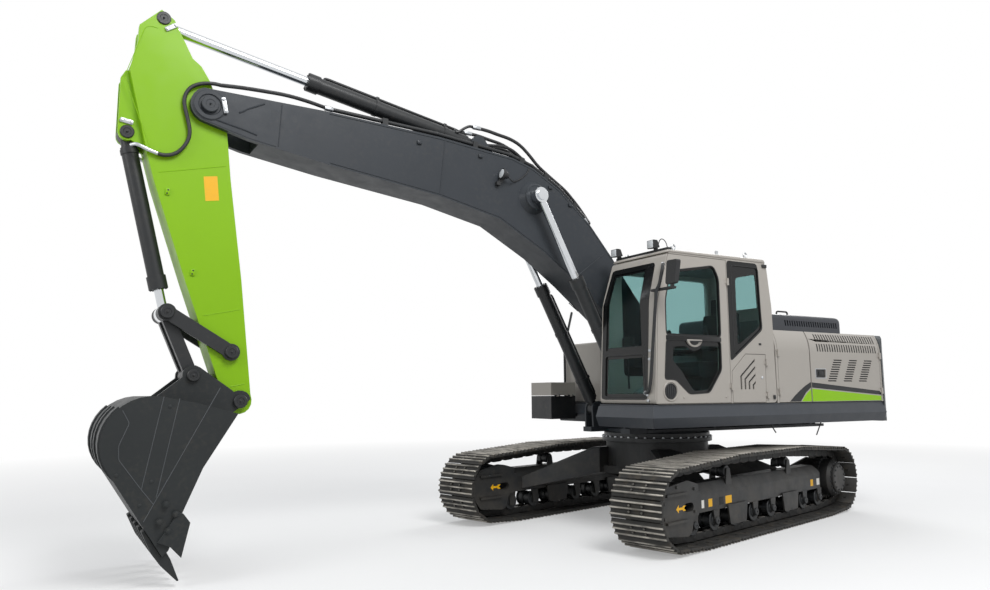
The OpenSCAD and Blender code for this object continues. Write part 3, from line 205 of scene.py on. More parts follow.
class Shader:
    """One procedural material, built node by node on Object coordinates."""

    def __init__(self, name: str) -> None:
        """Starts a material with an empty principled shader."""
        self.material = bpy.data.materials.new(name)
        self.material.use_nodes = True
        self.tree = self.material.node_tree
        self.bsdf = self.tree.nodes["Principled BSDF"]
        self.place = self.tree.nodes.new("ShaderNodeTexCoord").outputs["Object"]

    def feed(self, socket: bpy.types.NodeSocket, value: object) -> None:
        """Sets a socket to a constant, or links a node's output to it."""
        if isinstance(value, bpy.types.NodeSocket):
            self.tree.links.new(value, socket)
        else:
            socket.default_value = value

    def put(self, socket: str, value: object) -> None:
        """Sets or links one of the principled shader's own sockets."""
        self.feed(self.bsdf.inputs[socket], value)

    def node(
        self, kind: str, inputs: dict[str | int, object], output: str | int, **settings: object
    ) -> bpy.types.NodeSocket:
        """Adds a node.

        Args:
            kind: Its type, without the stem that all types share.
            inputs: Constant or link of each input that is set.
            output: The output that is wanted.
            settings: Its other settings.

        Returns:
            The output.
        """
        node = self.tree.nodes.new(f"ShaderNode{kind}")
        for key, value in settings.items():
            setattr(node, key, value)
        for key, value in inputs.items():
            self.feed(node.inputs[key], value)
        return node.outputs[output]

    def noise(self, scale: float, detail: float, stretch: Point = (1, 1, 1)) -> bpy.types.NodeSocket:
        """Adds a cloud of the given scale.

        Args:
            scale: Clouds in a metre.
            detail: Octaves.
            stretch: Factors of the three axes.

        Returns:
            The cloud's value from 0 to 1.
        """
        spot = self.node("Mapping", {"Scale": stretch, "Vector": self.place}, "Vector")
        return self.node("TexNoise", {"Scale": scale, "Detail": detail, "Vector": spot}, "Fac")

    def height(self) -> bpy.types.NodeSocket:
        """Returns the height above the ground in metres."""
        return self.node("SeparateXYZ", {0: self.place}, "Z")

    def attribute(self, name: str) -> bpy.types.NodeSocket:
        """Returns a value that the mesh itself carries."""
        return self.node("Attribute", {}, "Fac", attribute_name=name)

    def span(
        self, value: bpy.types.NodeSocket, old: tuple[float, float], new: tuple[float, float]
    ) -> bpy.types.NodeSocket:
        """Maps a value from one range to another and holds it there.

        Args:
            value: The value to map.
            old: Range that it comes from.
            new: Range that it goes to.

        Returns:
            The mapped value.
        """
        ends = zip(("From Min", "From Max", "To Min", "To Max"), (*old, *new))
        return self.node("MapRange", {"Value": value, **dict(ends)}, "Result")

    def times(self, a: bpy.types.NodeSocket, b: bpy.types.NodeSocket) -> bpy.types.NodeSocket:
        """Returns the product of two values."""
        return self.node("Math", {0: a, 1: b}, "Value", operation="MULTIPLY")

    def mix(self, share: bpy.types.NodeSocket, a: object, b: object) -> bpy.types.NodeSocket:
        """Blends two colours.

        Args:
            share: Share of the second colour.
            a: First colour, constant or linked.
            b: Second colour, constant or linked.

        Returns:
            The blended colour.
        """
        return self.node("Mix", {"Factor": share, 6: a, 7: b}, 2, data_type="RGBA")

    def uneven(self, rough: float, spread: tuple[float, float], scale: float, detail: float) -> None:
        """Lets the roughness wander round a value.

        Args:
            rough: The value.
            spread: How far it falls below the value and rises above it.
            scale: Clouds in a metre.
            detail: Octaves.
        """
        span = (rough - spread[0], rough + spread[1])
        self.put("Roughness", self.span(self.noise(scale, detail), (0.3, 0.7), span))

    def bump(self, height: bpy.types.NodeSocket, strength: float, distance: float) -> None:
        """Raises the surface by a height pattern."""
        inputs = {"Strength": strength, "Distance": distance, "Height": height}
        self.put("Normal", self.node("Bump", inputs, "Normal"))


def shade(color: Point, factor: float) -> tuple[float, float, float, float]:
    """Returns a colour made lighter or darker by a factor."""
    return (*(min(1.0, c * factor) for c in color[:3]), 1.0)


DUST = tint("8d8271")


@dataclass(frozen=True)
class Finish:
    """A surface with a material of its own."""

    name: str
    code: str

    @lru_cache(maxsize=None)
    def material(self) -> bpy.types.Material:
        """Makes the finish's material once.

        Returns:
            The material.
        """
        shader = Shader(self.name)
        self.lay(shader, tint(self.code))
        return shader.material

    def lay(self, shader: Shader, color: Point) -> None:
        """Sets up the shader, from the finish's main colour."""
        raise NotImplementedError


@dataclass(frozen=True)
class Paint(Finish):
    """A sprayed coat with slight clouds, orange peel and settled dust."""

    rough: float = 0.4
    coat: float = 0.0
    metal: float = 0.0
    clouds: float = 0.05
    dust: float = 0.06
    grime: float = 0.0
    peel: float = 0.05
    peel_scale: float = 260.0
    gloss: float = 0.5

    def lay(self, shader: Shader, color: Point) -> None:
        """Mixes the coat, its clouds, dust and grime.

        Args:
            shader: The shader to set up.
            color: The main colour.
        """
        cloud = shader.span(shader.noise(1.1, 4), (0.32, 0.68), (0, 1))
        base = shader.mix(cloud, shade(color, 1 - self.clouds), shade(color, 1 + self.clouds))
        speck = shader.span(shader.noise(23, 6), (0.48, 0.8), (0, 1))
        settled = shader.span(shader.noise(2.3, 3), (0.35, 0.7), (0, self.dust))
        base = shader.mix(shader.times(speck, settled), base, DUST)
        if self.grime:
            low = shader.span(shader.height(), (0.0, 1.1), (self.grime, 0))
            splash = shader.span(shader.noise(5, 5), (0.3, 0.65), (0, 1))
            base = shader.mix(shader.times(low, splash), base, DUST)
        shader.put("Base Color", base)
        shader.uneven(self.rough, (0.05, 0.08), 7, 4)
        shader.put("Metallic", self.metal)
        shader.put("Specular IOR Level", self.gloss)
        shader.put("Coat Weight", self.coat)
        shader.put("Coat Roughness", 0.12)
        shader.bump(shader.noise(self.peel_scale, 2), self.peel, 0.002)


@dataclass(frozen=True)
class BareSteel(Finish):
    """Worn track steel: dark and rusty in the hollows, bright where it rubs."""

    bright: str
    rust: str

    def lay(self, shader: Shader, color: Point) -> None:
        """Mixes rust and bright steel, by the mesh's own wear values.

        Args:
            shader: The shader to set up.
            color: The main colour.
        """
        cloud = shader.span(shader.noise(3, 5), (0.35, 0.65), (0, 1))
        base = shader.mix(cloud, shade(color, 0.75), shade(color, 1.3))
        soil = shader.span(shader.noise(9, 6), (0.52, 0.74), (0, 0.55))
        base = shader.mix(soil, base, tint(self.rust))
        rub = shader.times(
            shader.span(shader.attribute("wear"), (0.55, 1.0), (0, 1)),
            shader.span(shader.noise(16, 4, (1, 0.25, 1)), (0.3, 0.62), (0.15, 1)),
        )
        shader.put("Base Color", shader.mix(rub, base, tint(self.bright)))
        shader.put("Metallic", shader.span(rub, (0, 1), (0.25, 0.9)))
        shader.put("Roughness", shader.span(rub, (0, 1), (0.62, 0.34)))
        shader.bump(shader.noise(60, 6), 0.25, 0.004)


@dataclass(frozen=True)
class Chrome(Finish):
    """Ground and plated rod steel with faint turning marks."""

    rough: float = 0.13

    def lay(self, shader: Shader, color: Point) -> None:
        """Mixes the plated steel.

        Args:
            shader: The shader to set up.
            color: The main colour.
        """
        cloud = shader.span(shader.noise(4, 3), (0.3, 0.7), (0, 1))
        shader.put("Base Color", shader.mix(cloud, shade(color, 0.9), color))
        shader.put("Metallic", 1.0)
        shader.uneven(self.rough, (0.03, 0.05), 40, 3)
        shader.bump(shader.noise(400, 1), 0.02, 0.001)


@dataclass(frozen=True)
class Glass(Finish):
    """Tinted safety glass."""

    def lay(self, shader: Shader, color: Point) -> None:
        """Mixes the glass.

        Args:
            shader: The shader to set up.
            color: The main colour.
        """
        shader.put("Base Color", color)
        shader.put("Transmission Weight", 1.0)
        shader.put("IOR", 1.12)
        shader.put("Specular IOR Level", 0.5)
        shader.put("Roughness", shader.span(shader.noise(3, 3), (0.4, 0.8), (0.0, 0.03)))


@dataclass(frozen=True)
class Rubber(Finish):
    """Soft matt rubber or woven hose cover."""

    rough: float = 0.7
    rib: float = 0.0

    def lay(self, shader: Shader, color: Point) -> None:
        """Mixes the rubber.

        Args:
            shader: The shader to set up.
            color: The main colour.
        """
        cloud = shader.span(shader.noise(12, 4), (0.35, 0.7), (0, 1))
        shader.put("Base Color", shader.mix(cloud, shade(color, 0.8), shade(color, 1.25)))
        shader.uneven(self.rough, (0.08, 0.1), 30, 3)
        shader.bump(shader.noise(900 if self.rib else 300, 2), 0.12 + self.rib, 0.001)


class Look(Enum):
    """The machine's finishes by name."""

    BODY = Paint("body_grey", "aca7a0", 0.38, coat=0.2, clouds=0.025, dust=0.05, gloss=0.3)
    FRAME = Paint("frame_slate", "35393e", 0.42, coat=0.05, clouds=0.05, dust=0.08, gloss=0.25)
    SKIRT = Paint("skirt_slate", "3a3e44", 0.40, coat=0.1, clouds=0.04, dust=0.06, gloss=0.3)
    CHASSIS = Paint("chassis_black", "222426", 0.46, coat=0.05, clouds=0.10, dust=0.08, grime=0.14, gloss=0.3)
    GEAR = Paint("gear_black", "222426", 0.44, coat=0.1, clouds=0.08, dust=0.08, gloss=0.35)
    LIME = Paint("arm_lime", "87bb08", 0.42, coat=0.1, clouds=0.02, dust=0.02, gloss=0.25)
    BUCKET = Paint("bucket_charcoal", "272a2b", 0.5, clouds=0.10, dust=0.10, peel=0.12, gloss=0.3)
    HOOD = Paint("hood_slate", "36393f", 0.38, coat=0.15, clouds=0.03, dust=0.05, gloss=0.3)
    WEIGHT = Paint("weight_slate", "363b3e", 0.40, coat=0.1, clouds=0.04, dust=0.06, gloss=0.3)
    WELD = Paint("weld_bead", "4b4e51", 0.5, metal=0.3, peel=0.4, peel_scale=160)
    TRIM = Paint("moulded_black", "1d1e20", 0.55, clouds=0.06, dust=0.05, peel=0.15, peel_scale=500)
    # Near-black painted shade, laid flat in holes and grooves and behind louvres where shade falls.
    VOID = Paint("painted_shade_dark", "0c0d0e", 0.7, clouds=0.1)
    FRIT = Paint("fired_glass_edge", "0a0c0d", 0.2, clouds=0.05, dust=0.02, peel=0.01, gloss=0.35)
    STRIPE = Paint("stripe_lime", "90c90a", 0.40, coat=0.1, clouds=0.02, dust=0.02, gloss=0.25)
    STRIPE_DARK = Paint("stripe_black", "1a1d20", 0.38, coat=0.1, clouds=0.03, dust=0.03, gloss=0.3)
    AMBER = Paint("plain_patch", "f0b400", 0.45, clouds=0.03, dust=0.05)
    PALE = Paint("pale_patch", "e8e6e0", 0.45, clouds=0.03, dust=0.05)
    ZINC = Paint("zinc_fitting", "b9bcbf", 0.3, metal=0.85, clouds=0.08, dust=0.08, peel=0.08)
    LENS = Paint("lamp_lens", "d9dde0", 0.12, coat=0.6, clouds=0.06, dust=0.02, peel=0.3, peel_scale=240)
    LINER = Paint("cab_liner", "6e7576", 0.6, clouds=0.05, peel=0.2, peel_scale=420)
    TRACK = BareSteel("track_steel", "282725", "b8b3aa", "4d453a")
    CHAIN = BareSteel("chain_steel", "1b1b1a", "8f8b85", "3a332c")
    CHROME = Chrome("rod_chrome", "d6d9dc")
    GLASS = Glass("tinted_glass", "b2cdcc")
    SEAL = Rubber("window_seal", "141516", 0.6)
    HOSE = Rubber("hose_cover", "1f2022", 0.5, rib=0.2)
    SEAT = Rubber("seat_cloth", "2a2c2e", 0.85, rib=0.5)

    def material(self) -> bpy.types.Material:
        """Returns the finish's material."""
        return self.value.material()


# Modelling by hand


def deselect() -> None:
    """Leaves nothing selected."""
    bpy.ops.object.select_all(action="DESELECT")


def pick(obj: bpy.types.Object) -> bpy.types.Object:
    """Makes one object the selected and active one, and returns it."""
    deselect()
    obj.select_set(True)
    bpy.context.view_layer.objects.active = obj
    return obj


def take_all() -> None:
    """Selects the whole mesh in edit mode."""
    bpy.ops.mesh.select_all(action="SELECT")


def face_out() -> None:
    """Turns all faces of the mesh outwards in edit mode."""
    take_all()
    bpy.ops.mesh.normals_make_consistent(inside=False)


def in_edit(obj: bpy.types.Object, mode: str, *steps: Callable[[], object]) -> bpy.types.Object:
    """Runs steps in edit mode.

    Args:
        obj: The object.
        mode: Selection mode.
        steps: Calls to make in order.

    Returns:
        The object.
    """
    pick(obj)
    bpy.ops.object.mode_set(mode="EDIT")
    bpy.context.tool_settings.mesh_select_mode = tuple(mode == m for m in ("VERT", "EDGE", "FACE"))
    for step in steps:
        step()
    bpy.ops.object.mode_set(mode="OBJECT")
    return obj


def settle(obj: bpy.types.Object) -> bpy.types.Object:
    """Moves an object's place into its mesh and returns it."""
    pick(obj)
    bpy.ops.object.transform_apply(location=True, rotation=True, scale=True)
    return obj


def modify(obj: bpy.types.Object, kind: str, **values: object) -> bpy.types.Object:
    """Adds a modifier, sets it and applies it.

    Args:
        obj: The object.
        kind: Modifier type.
        values: Its settings.

    Returns:
        The object.
    """
    pick(obj)
    modifier = obj.modifiers.new(kind.lower(), kind)
    for key, value in values.items():
        setattr(modifier, key, value)
    bpy.ops.object.modifier_apply(modifier=modifier.name)
    return obj


def ease(obj: bpy.types.Object, width: float, segments: int = 2, angle: float = 32) -> bpy.types.Object:
    """Rounds the sharp edges of an object.

    Args:
        obj: The object.
        width: Width of the round in metres.
        segments: Facets of the round.
        angle: Edges sharper than this are rounded, in degrees.

    Returns:
        The object.
    """
    if width <= 0:
        return obj
    return modify(
        obj, "BEVEL", width=width, segments=segments, limit_method="ANGLE", angle_limit=math.radians(angle)
    )


def box(low: Point, high: Point, round_by: float = 0.0, segments: int = 2) -> bpy.types.Object:
    """Models a block between two corners, with its edges rounded.

    Args:
        low: Lowest corner.
        high: Highest corner.
        round_by: Width of the rounded edges.
        segments: Facets of a rounded edge.

    Returns:
        The block.
    """
    low, high = Vector(low), Vector(high)
    deselect()
    bpy.ops.mesh.primitive_cube_add(size=1, location=(low + high) / 2, scale=high - low)
    return ease(settle(bpy.context.object), round_by, segments)


class Plane(Enum):
    """Plane of an outline and the axis that it is drawn out along."""

    SIDE = "y"
    PLAN = "z"
    END = "x"

    def point(self, a: float, b: float, depth: float) -> tuple[float, float, float]:
        """Returns the point at outline place a, b and at a depth."""
        return {"y": (a, depth, b), "z": (a, b, depth), "x": (depth, a, b)}[self.value]

    def sheet(self, outline: Sequence[Point], depth: float, fill: str = "NGON") -> bpy.types.Object:
        """Adds a circle and moves its corners to an outline.

        Args:
            outline: Corners in order.
            depth: Where it lies along the plane's axis.
            fill: How the circle is filled.

        Returns:
            The flat outline.
        """
        deselect()
        bpy.ops.mesh.primitive_circle_add(vertices=len(outline), fill_type=fill)
        obj = bpy.context.object
        for vertex, (a, b) in zip(obj.data.vertices, outline):
            vertex.co = self.point(a, b, depth)
        return obj

    def draw_out(self, depth: tuple[float, float]) -> Callable[[], object]:
        """Returns the edit step that draws the selection out from one depth to another."""
        move = {"value": self.point(0, 0, depth[1] - depth[0])}
        return lambda: bpy.ops.mesh.extrude_region_move(TRANSFORM_OT_translate=move)


def prism(
    outline: Sequence[Point], depth: tuple[float, float], plane: Plane = Plane.SIDE, round_by: float = 0.0,
    segments: int = 2,
) -> bpy.types.Object:
    """Draws out an outline into a solid, as with extrude.

    Args:
        outline: Corners in order.
        depth: Where it starts and ends along the plane's axis.
        plane: Plane of the outline.
        round_by: Width of the rounded edges.
        segments: Facets of a rounded edge.

    Returns:
        The solid.
    """
    obj = plane.sheet(outline, depth[0])
    in_edit(obj, "FACE", take_all, plane.draw_out(depth), face_out)
    return ease(obj, round_by, segments)


def stand(at: Point, axis: Point) -> Matrix:
    """Returns the frame at a point with local +Z along an axis."""
    return Matrix.Translation(Vector(at)) @ Vector(axis).to_track_quat("Z", "Y").to_matrix().to_4x4()


def axes(at: Point, x: Vector, y: Vector, z: Vector) -> Matrix:
    """Returns the frame at a point with the given local axes."""
    return Matrix.Translation(at) @ Matrix((x, y, z)).transposed().to_4x4()


def bar(start: Point, end: Point, radius: float, round_by: float, sides: int) -> bpy.types.Object:
    """Models a round bar between two points.

    Args:
        start: Middle of one end.
        end: Middle of the other end.
        radius: Radius.
        round_by: Width of the rounded rims.
        sides: Facets round the bar.

    Returns:
        The bar.
    """
    start, end = Vector(start), Vector(end)
    deselect()
    bpy.ops.mesh.primitive_cylinder_add(vertices=sides, radius=radius, depth=(end - start).length)
    obj = bpy.context.object
    obj.matrix_world = stand((start + end) / 2, end - start)
    return ease(settle(obj), round_by)


def turned(profile: Sequence[Point], at: Point, axis: Point, steps: int) -> bpy.types.Object:
    """Spins a closed profile of radius and height into a turned piece.

    Args:
        profile: Corners as radius and height along the axis.
        at: Where height 0 lies.
        axis: Direction of the axis.
        steps: Facets round the axis.

    Returns:
        The turned piece.
    """
    obj = Plane.SIDE.sheet(profile, 0, "NOTHING")
    in_edit(
        obj,
        "VERT",
        take_all,
        lambda: bpy.ops.mesh.spin(steps=steps, angle=2 * math.pi, center=(0, 0, 0), axis=UP),
        take_all,
        lambda: bpy.ops.mesh.remove_doubles(threshold=1e-5),
        face_out,
    )
    obj.matrix_world = stand(at, axis)
    return settle(obj)


def curve_round(a: Vector, corner: Vector, b: Vector, steps: int) -> list[Vector]:
    """Returns points of the curve that leads from a to b past a corner."""
    shares = [k / steps for k in range(steps + 1)]
    return [a * (1 - t) ** 2 + corner * 2 * t * (1 - t) + b * t**2 for t in shares]


PATH_STEPS = 6


def smooth_path(points: Sequence[Point], bend: float) -> list[Vector]:
    """Rounds the corners of a path.

    Args:
        points: Corners of the path.
        bend: Length that a corner takes from each side, where there is room.

    Returns:
        Points of the rounded path.
    """
    path = [Vector(p) for p in points]
    out = [path[0]]
    for before, corner, after in zip(path, path[1:], path[2:]):
        reach_in = min(bend, (before - corner).length * 0.49)
        reach_out = min(bend, (after - corner).length * 0.49)
        a = corner + (before - corner).normalized() * reach_in
        b = corner + (after - corner).normalized() * reach_out
        out += curve_round(a, corner, b, PATH_STEPS)
    return [*out, path[-1]]


def pipe(points: Sequence[Point], radius: float, bend: float = 0.0, sides: int = 3) -> bpy.types.Object:
    """Models a round pipe or hose along a path.

    Args:
        points: Corners of the path.
        radius: Radius of the pipe.
        bend: Length that a rounded corner takes from each side.
        sides: Quarter facets of the section.

    Returns:
        The pipe as a mesh.
    """
    path = smooth_path(points, bend) if bend else [Vector(p) for p in points]
    curve = bpy.data.curves.new("pipe", "CURVE")
    curve.dimensions = "3D"
    curve.bevel_depth = radius
    curve.bevel_resolution = sides
    curve.use_fill_caps = True
    spline = curve.splines.new("POLY")
    spline.points.add(len(path) - 1)
    for point, place in zip(spline.points, path):
        point.co = (*place, 1)
    obj = bpy.data.objects.new("pipe", curve)
    bpy.context.scene.collection.objects.link(obj)
    pick(obj)
    bpy.ops.object.convert(target="MESH")
    return bpy.context.object


def join(parts: Iterable[bpy.types.Object]) -> bpy.types.Object:
    """Joins objects into one.

    Args:
        parts: The objects.

    Returns:
        The joined object.
    """
    parts = list(parts)
    pick(parts[0])
    for part in parts:
        part.select_set(True)
    if len(parts) > 1:
        bpy.ops.object.join()
    return bpy.context.object


def twin(obj: bpy.types.Object, move: Matrix) -> bpy.types.Object:
    """Copies an object with a mesh of its own, moves that mesh and returns the copy."""
    copy = obj.copy()
    copy.data = obj.data.copy()
    copy.data.transform(move)
    bpy.context.scene.collection.objects.link(copy)
    return copy


def copies(model: bpy.types.Object, places: Iterable[Matrix]) -> bpy.types.Object:
    """Copies a model to each place and joins the copies.

    Args:
        model: What repeats. It is removed.
        places: Where the copies go.

    Returns:
        The joined copies.
    """
    made = [twin(model, place) for place in places]
    bpy.data.objects.remove(model)
    return join(made)


def around(count: int, offset: float = 0.0) -> list[tuple[float, float]]:
    """Lists the cosine and sine of evenly spread turns, the first one a share of a step round."""
    turns = [2 * math.pi * (k + offset) / count for k in range(count)]
    return [(math.cos(a), math.sin(a)) for a in turns]


def hex_head(size: float, height: float) -> bpy.types.Object:
    """Models a hexagon bolt head on a washer, standing on Z 0.

    Args:
        size: Radius over the corners.
        height: Height of the head.

    Returns:
        The bolt head.
    """
    washer = bar((0, 0, -0.001), (0, 0, height * 0.3), size * 1.3, height * 0.08, 14)
    head = bar((0, 0, height * 0.25), (0, 0, height), size, height * 0.14, 6)
    return join([washer, head])


def bolts(places: Iterable[tuple[Point, Point]], size: float, height: float) -> bpy.types.Object:
    """Sets bolt heads at places that each give a point and the way out.

    Args:
        places: Point and outward direction of each bolt.
        size: Radius over a head's corners.
        height: Height of a head.

    Returns:
        The joined bolts.
    """
    return copies(hex_head(size, height), [stand(at, out) for at, out in places])


def mirrored(obj: bpy.types.Object) -> bpy.types.Object:
    """Adds the mirror image across Y 0 to an object and returns it."""
    image = twin(obj, ACROSS)
    image.data.flip_normals()
    return join([obj, image])


def paint(obj: bpy.types.Object, name: str, look: Look, angle: float) -> None:
    """Names a finished piece, paints it and shades it.

    Args:
        obj: The piece.
        name: Its name.
        look: Its finish.
        angle: Edges flatter than this are shaded smooth, in degrees.
    """
    obj.name = obj.data.name = name
    obj.data.materials.clear()
    obj.data.materials.append(look.material())
    pick(obj)
    bpy.ops.object.shade_smooth_by_angle(angle=math.radians(angle))


def place(
    obj: bpy.types.Object, name: str, body: str, look: Look, slot: str | None = None
) -> bpy.types.Object:
    """Paints a finished piece and lets it ride on its body.

    Args:
        obj: The piece.
        name: Its name.
        body: The body that carries it.
        look: Its finish.
        slot: The record's material slot, if it has one.

    Returns:
        The piece.
    """
    paint(obj, name, look, 35)
    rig.ride(obj, body)
    if slot:
        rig.slot(obj, slot)
    LOG.info("%s on %s, %d faces", name, body, len(obj.data.polygons))
    return obj


NODE_WELD = 0.0002
NODE_FLAT = math.radians(0.6)
NODE_EDGE = math.radians(28)


def dress(node: str, look: Look, round_by: float, segments: int = 2) -> None:
    """Paints a solid of the frame and rounds its edges with live modifiers.

    Args:
        node: Name of the solid's node.
        look: Its finish.
        round_by: Width of the rounded edges.
        segments: Facets of a rounded edge.
    """
    obj = frame["nodes"][node]
    obj.data.materials.clear()
    obj.data.materials.append(look.material())
    for face in obj.data.polygons:
        face.use_smooth = True
    weld = obj.modifiers.new("weld", "WELD")
    weld.merge_threshold = NODE_WELD
    flat = obj.modifiers.new("flat", "DECIMATE")
    flat.decimate_type = "DISSOLVE"
    flat.angle_limit = NODE_FLAT
    if round_by:
        edge = obj.modifiers.new("edge", "BEVEL")
        edge.width = round_by
        edge.segments = segments
        edge.limit_method = "ANGLE"
        edge.angle_limit = NODE_EDGE
        edge.harden_normals = False
    normals = obj.modifiers.new("normals", "WEIGHTED_NORMAL")
    normals.keep_sharp = False
    LOG.info("dressed %s as %s", node, look.name)


def ring(
    outline: Sequence[Point],
    width: float,
    depth: tuple[float, float],
    plane: Plane = Plane.SIDE,
    round_by: float = 0.0,
) -> bpy.types.Object:
    """Models a flat band inside an outline, as with inset and extrude.

    Args:
        outline: Outer corners in order.
        width: Width of the band.
        depth: Where it starts and ends along the plane's axis.
        plane: Plane of the outline.
        round_by: Width of the rounded edges.

    Returns:
        The band.
    """
    obj = plane.sheet(outline, depth[0])
    in_edit(
        obj,
        "FACE",
        take_all,
        lambda: bpy.ops.mesh.inset(thickness=width, use_boundary=True),
        lambda: bpy.ops.mesh.delete(type="FACE"),
        take_all,
        plane.draw_out(depth),
        face_out,
    )
    return ease(obj, round_by)


def between(outer: Sequence[Point], inner: Sequence[Point], depth: tuple[float, float]) -> bpy.types.Object:
    """Models a flat band between two side outlines of as many corners, as with bridge and extrude.

    Args:
        outer: Outer corners in order.
        inner: Inner corners in the same order.
        depth: Where it starts and ends across the machine.

    Returns:
        The band.
    """
    side = Plane.SIDE
    loops = [side.sheet(outline, depth[0], "NOTHING") for outline in (outer, inner)]
    return in_edit(
        join(loops),
        "EDGE",
        take_all,
        bpy.ops.mesh.bridge_edge_loops,
        take_all,
        side.draw_out(depth),
        face_out,
    )


def soft(outline: Sequence[Point], reach: float, steps: int = 4) -> list[tuple[float, float]]:
    """Rounds each corner of an outline over a length on both of its sides.

    Args:
        outline: Corners in order.
        reach: Length that a corner takes from each side.
        steps: Pieces in a corner.

    Returns:
        Corners of the rounded outline.
    """
    points = [Vector(p) for p in outline]
    out = []
    for before, corner, after in zip([points[-1], *points], points, [*points[1:], points[0]]):
        a = corner + (before - corner).normalized() * reach
        b = corner + (after - corner).normalized() * reach
        out += [tuple(point) for point in curve_round(a, corner, b, steps)]
    return out


# Undercarriage


@dataclass(frozen=True)
class Belt:
    """The track's path round its wheels, each given as X, Z and radius in metres."""

    wheels: tuple[tuple[float, float, float], ...] = (
        (-1.480, 0.220, 0.180),
        (1.480, 0.220, 0.180),
        (1.915, 0.430, 0.365),
        (0.720, 0.705, 0.160),
        (-0.720, 0.705, 0.160),
        (-1.915, 0.430, 0.365),
    )
    shoes: int = 51

    def tangent(self, i: int) -> float:
        """Returns the outward angle of the run after wheel i."""
        count = len(self.wheels)
        (ax, az, ar), (bx, bz, br) = self.wheels[i % count], self.wheels[(i + 1) % count]
        return math.atan2(bz - az, bx - ax) - math.acos((ar - br) / math.hypot(bx - ax, bz - az))

    def pieces(self) -> list[tuple[float, float, float]]:
        """Lists the start angle, arc length and run length of each wheel."""
        out = []
        following = (*self.wheels[1:], self.wheels[0])
        for i, ((ax, az, ar), (bx, bz, br)) in enumerate(zip(self.wheels, following)):
            start = self.tangent(i - 1)
            turn = (self.tangent(i) - start) % (2 * math.pi)
            out.append((start, turn * ar, math.sqrt((bx - ax) ** 2 + (bz - az) ** 2 - (ar - br) ** 2)))
        return out

    def pitch(self) -> float:
        """Returns the length of path for one shoe."""
        return sum(arc + run for _, arc, run in self.pieces()) / self.shoes

    def place(self, s: float) -> Matrix:
        """Finds the frame of a point on the path.

        Args:
            s: Distance along the path.

        Returns:
            A frame with local X along the path and local Z outwards.
        """
        for i, (start, arc, run) in enumerate(self.pieces()):
            x, z, radius = self.wheels[i]
            if s <= arc + run:
                n = start + min(s, arc) / radius
                along = Vector((-math.sin(n), 0, math.cos(n)))
                out = Vector((math.cos(n), 0, math.sin(n)))
                at = Vector((x, 0, z)) + out * radius + along * max(0.0, s - arc)
                return axes(at, along, out.cross(along), out)
            s -= arc + run
        return self.place(0.0)

    def places(self) -> list[Matrix]:
        """Lists the frame of each shoe."""
        return [self.place((k + 0.5) * self.pitch()) for k in range(self.shoes)]


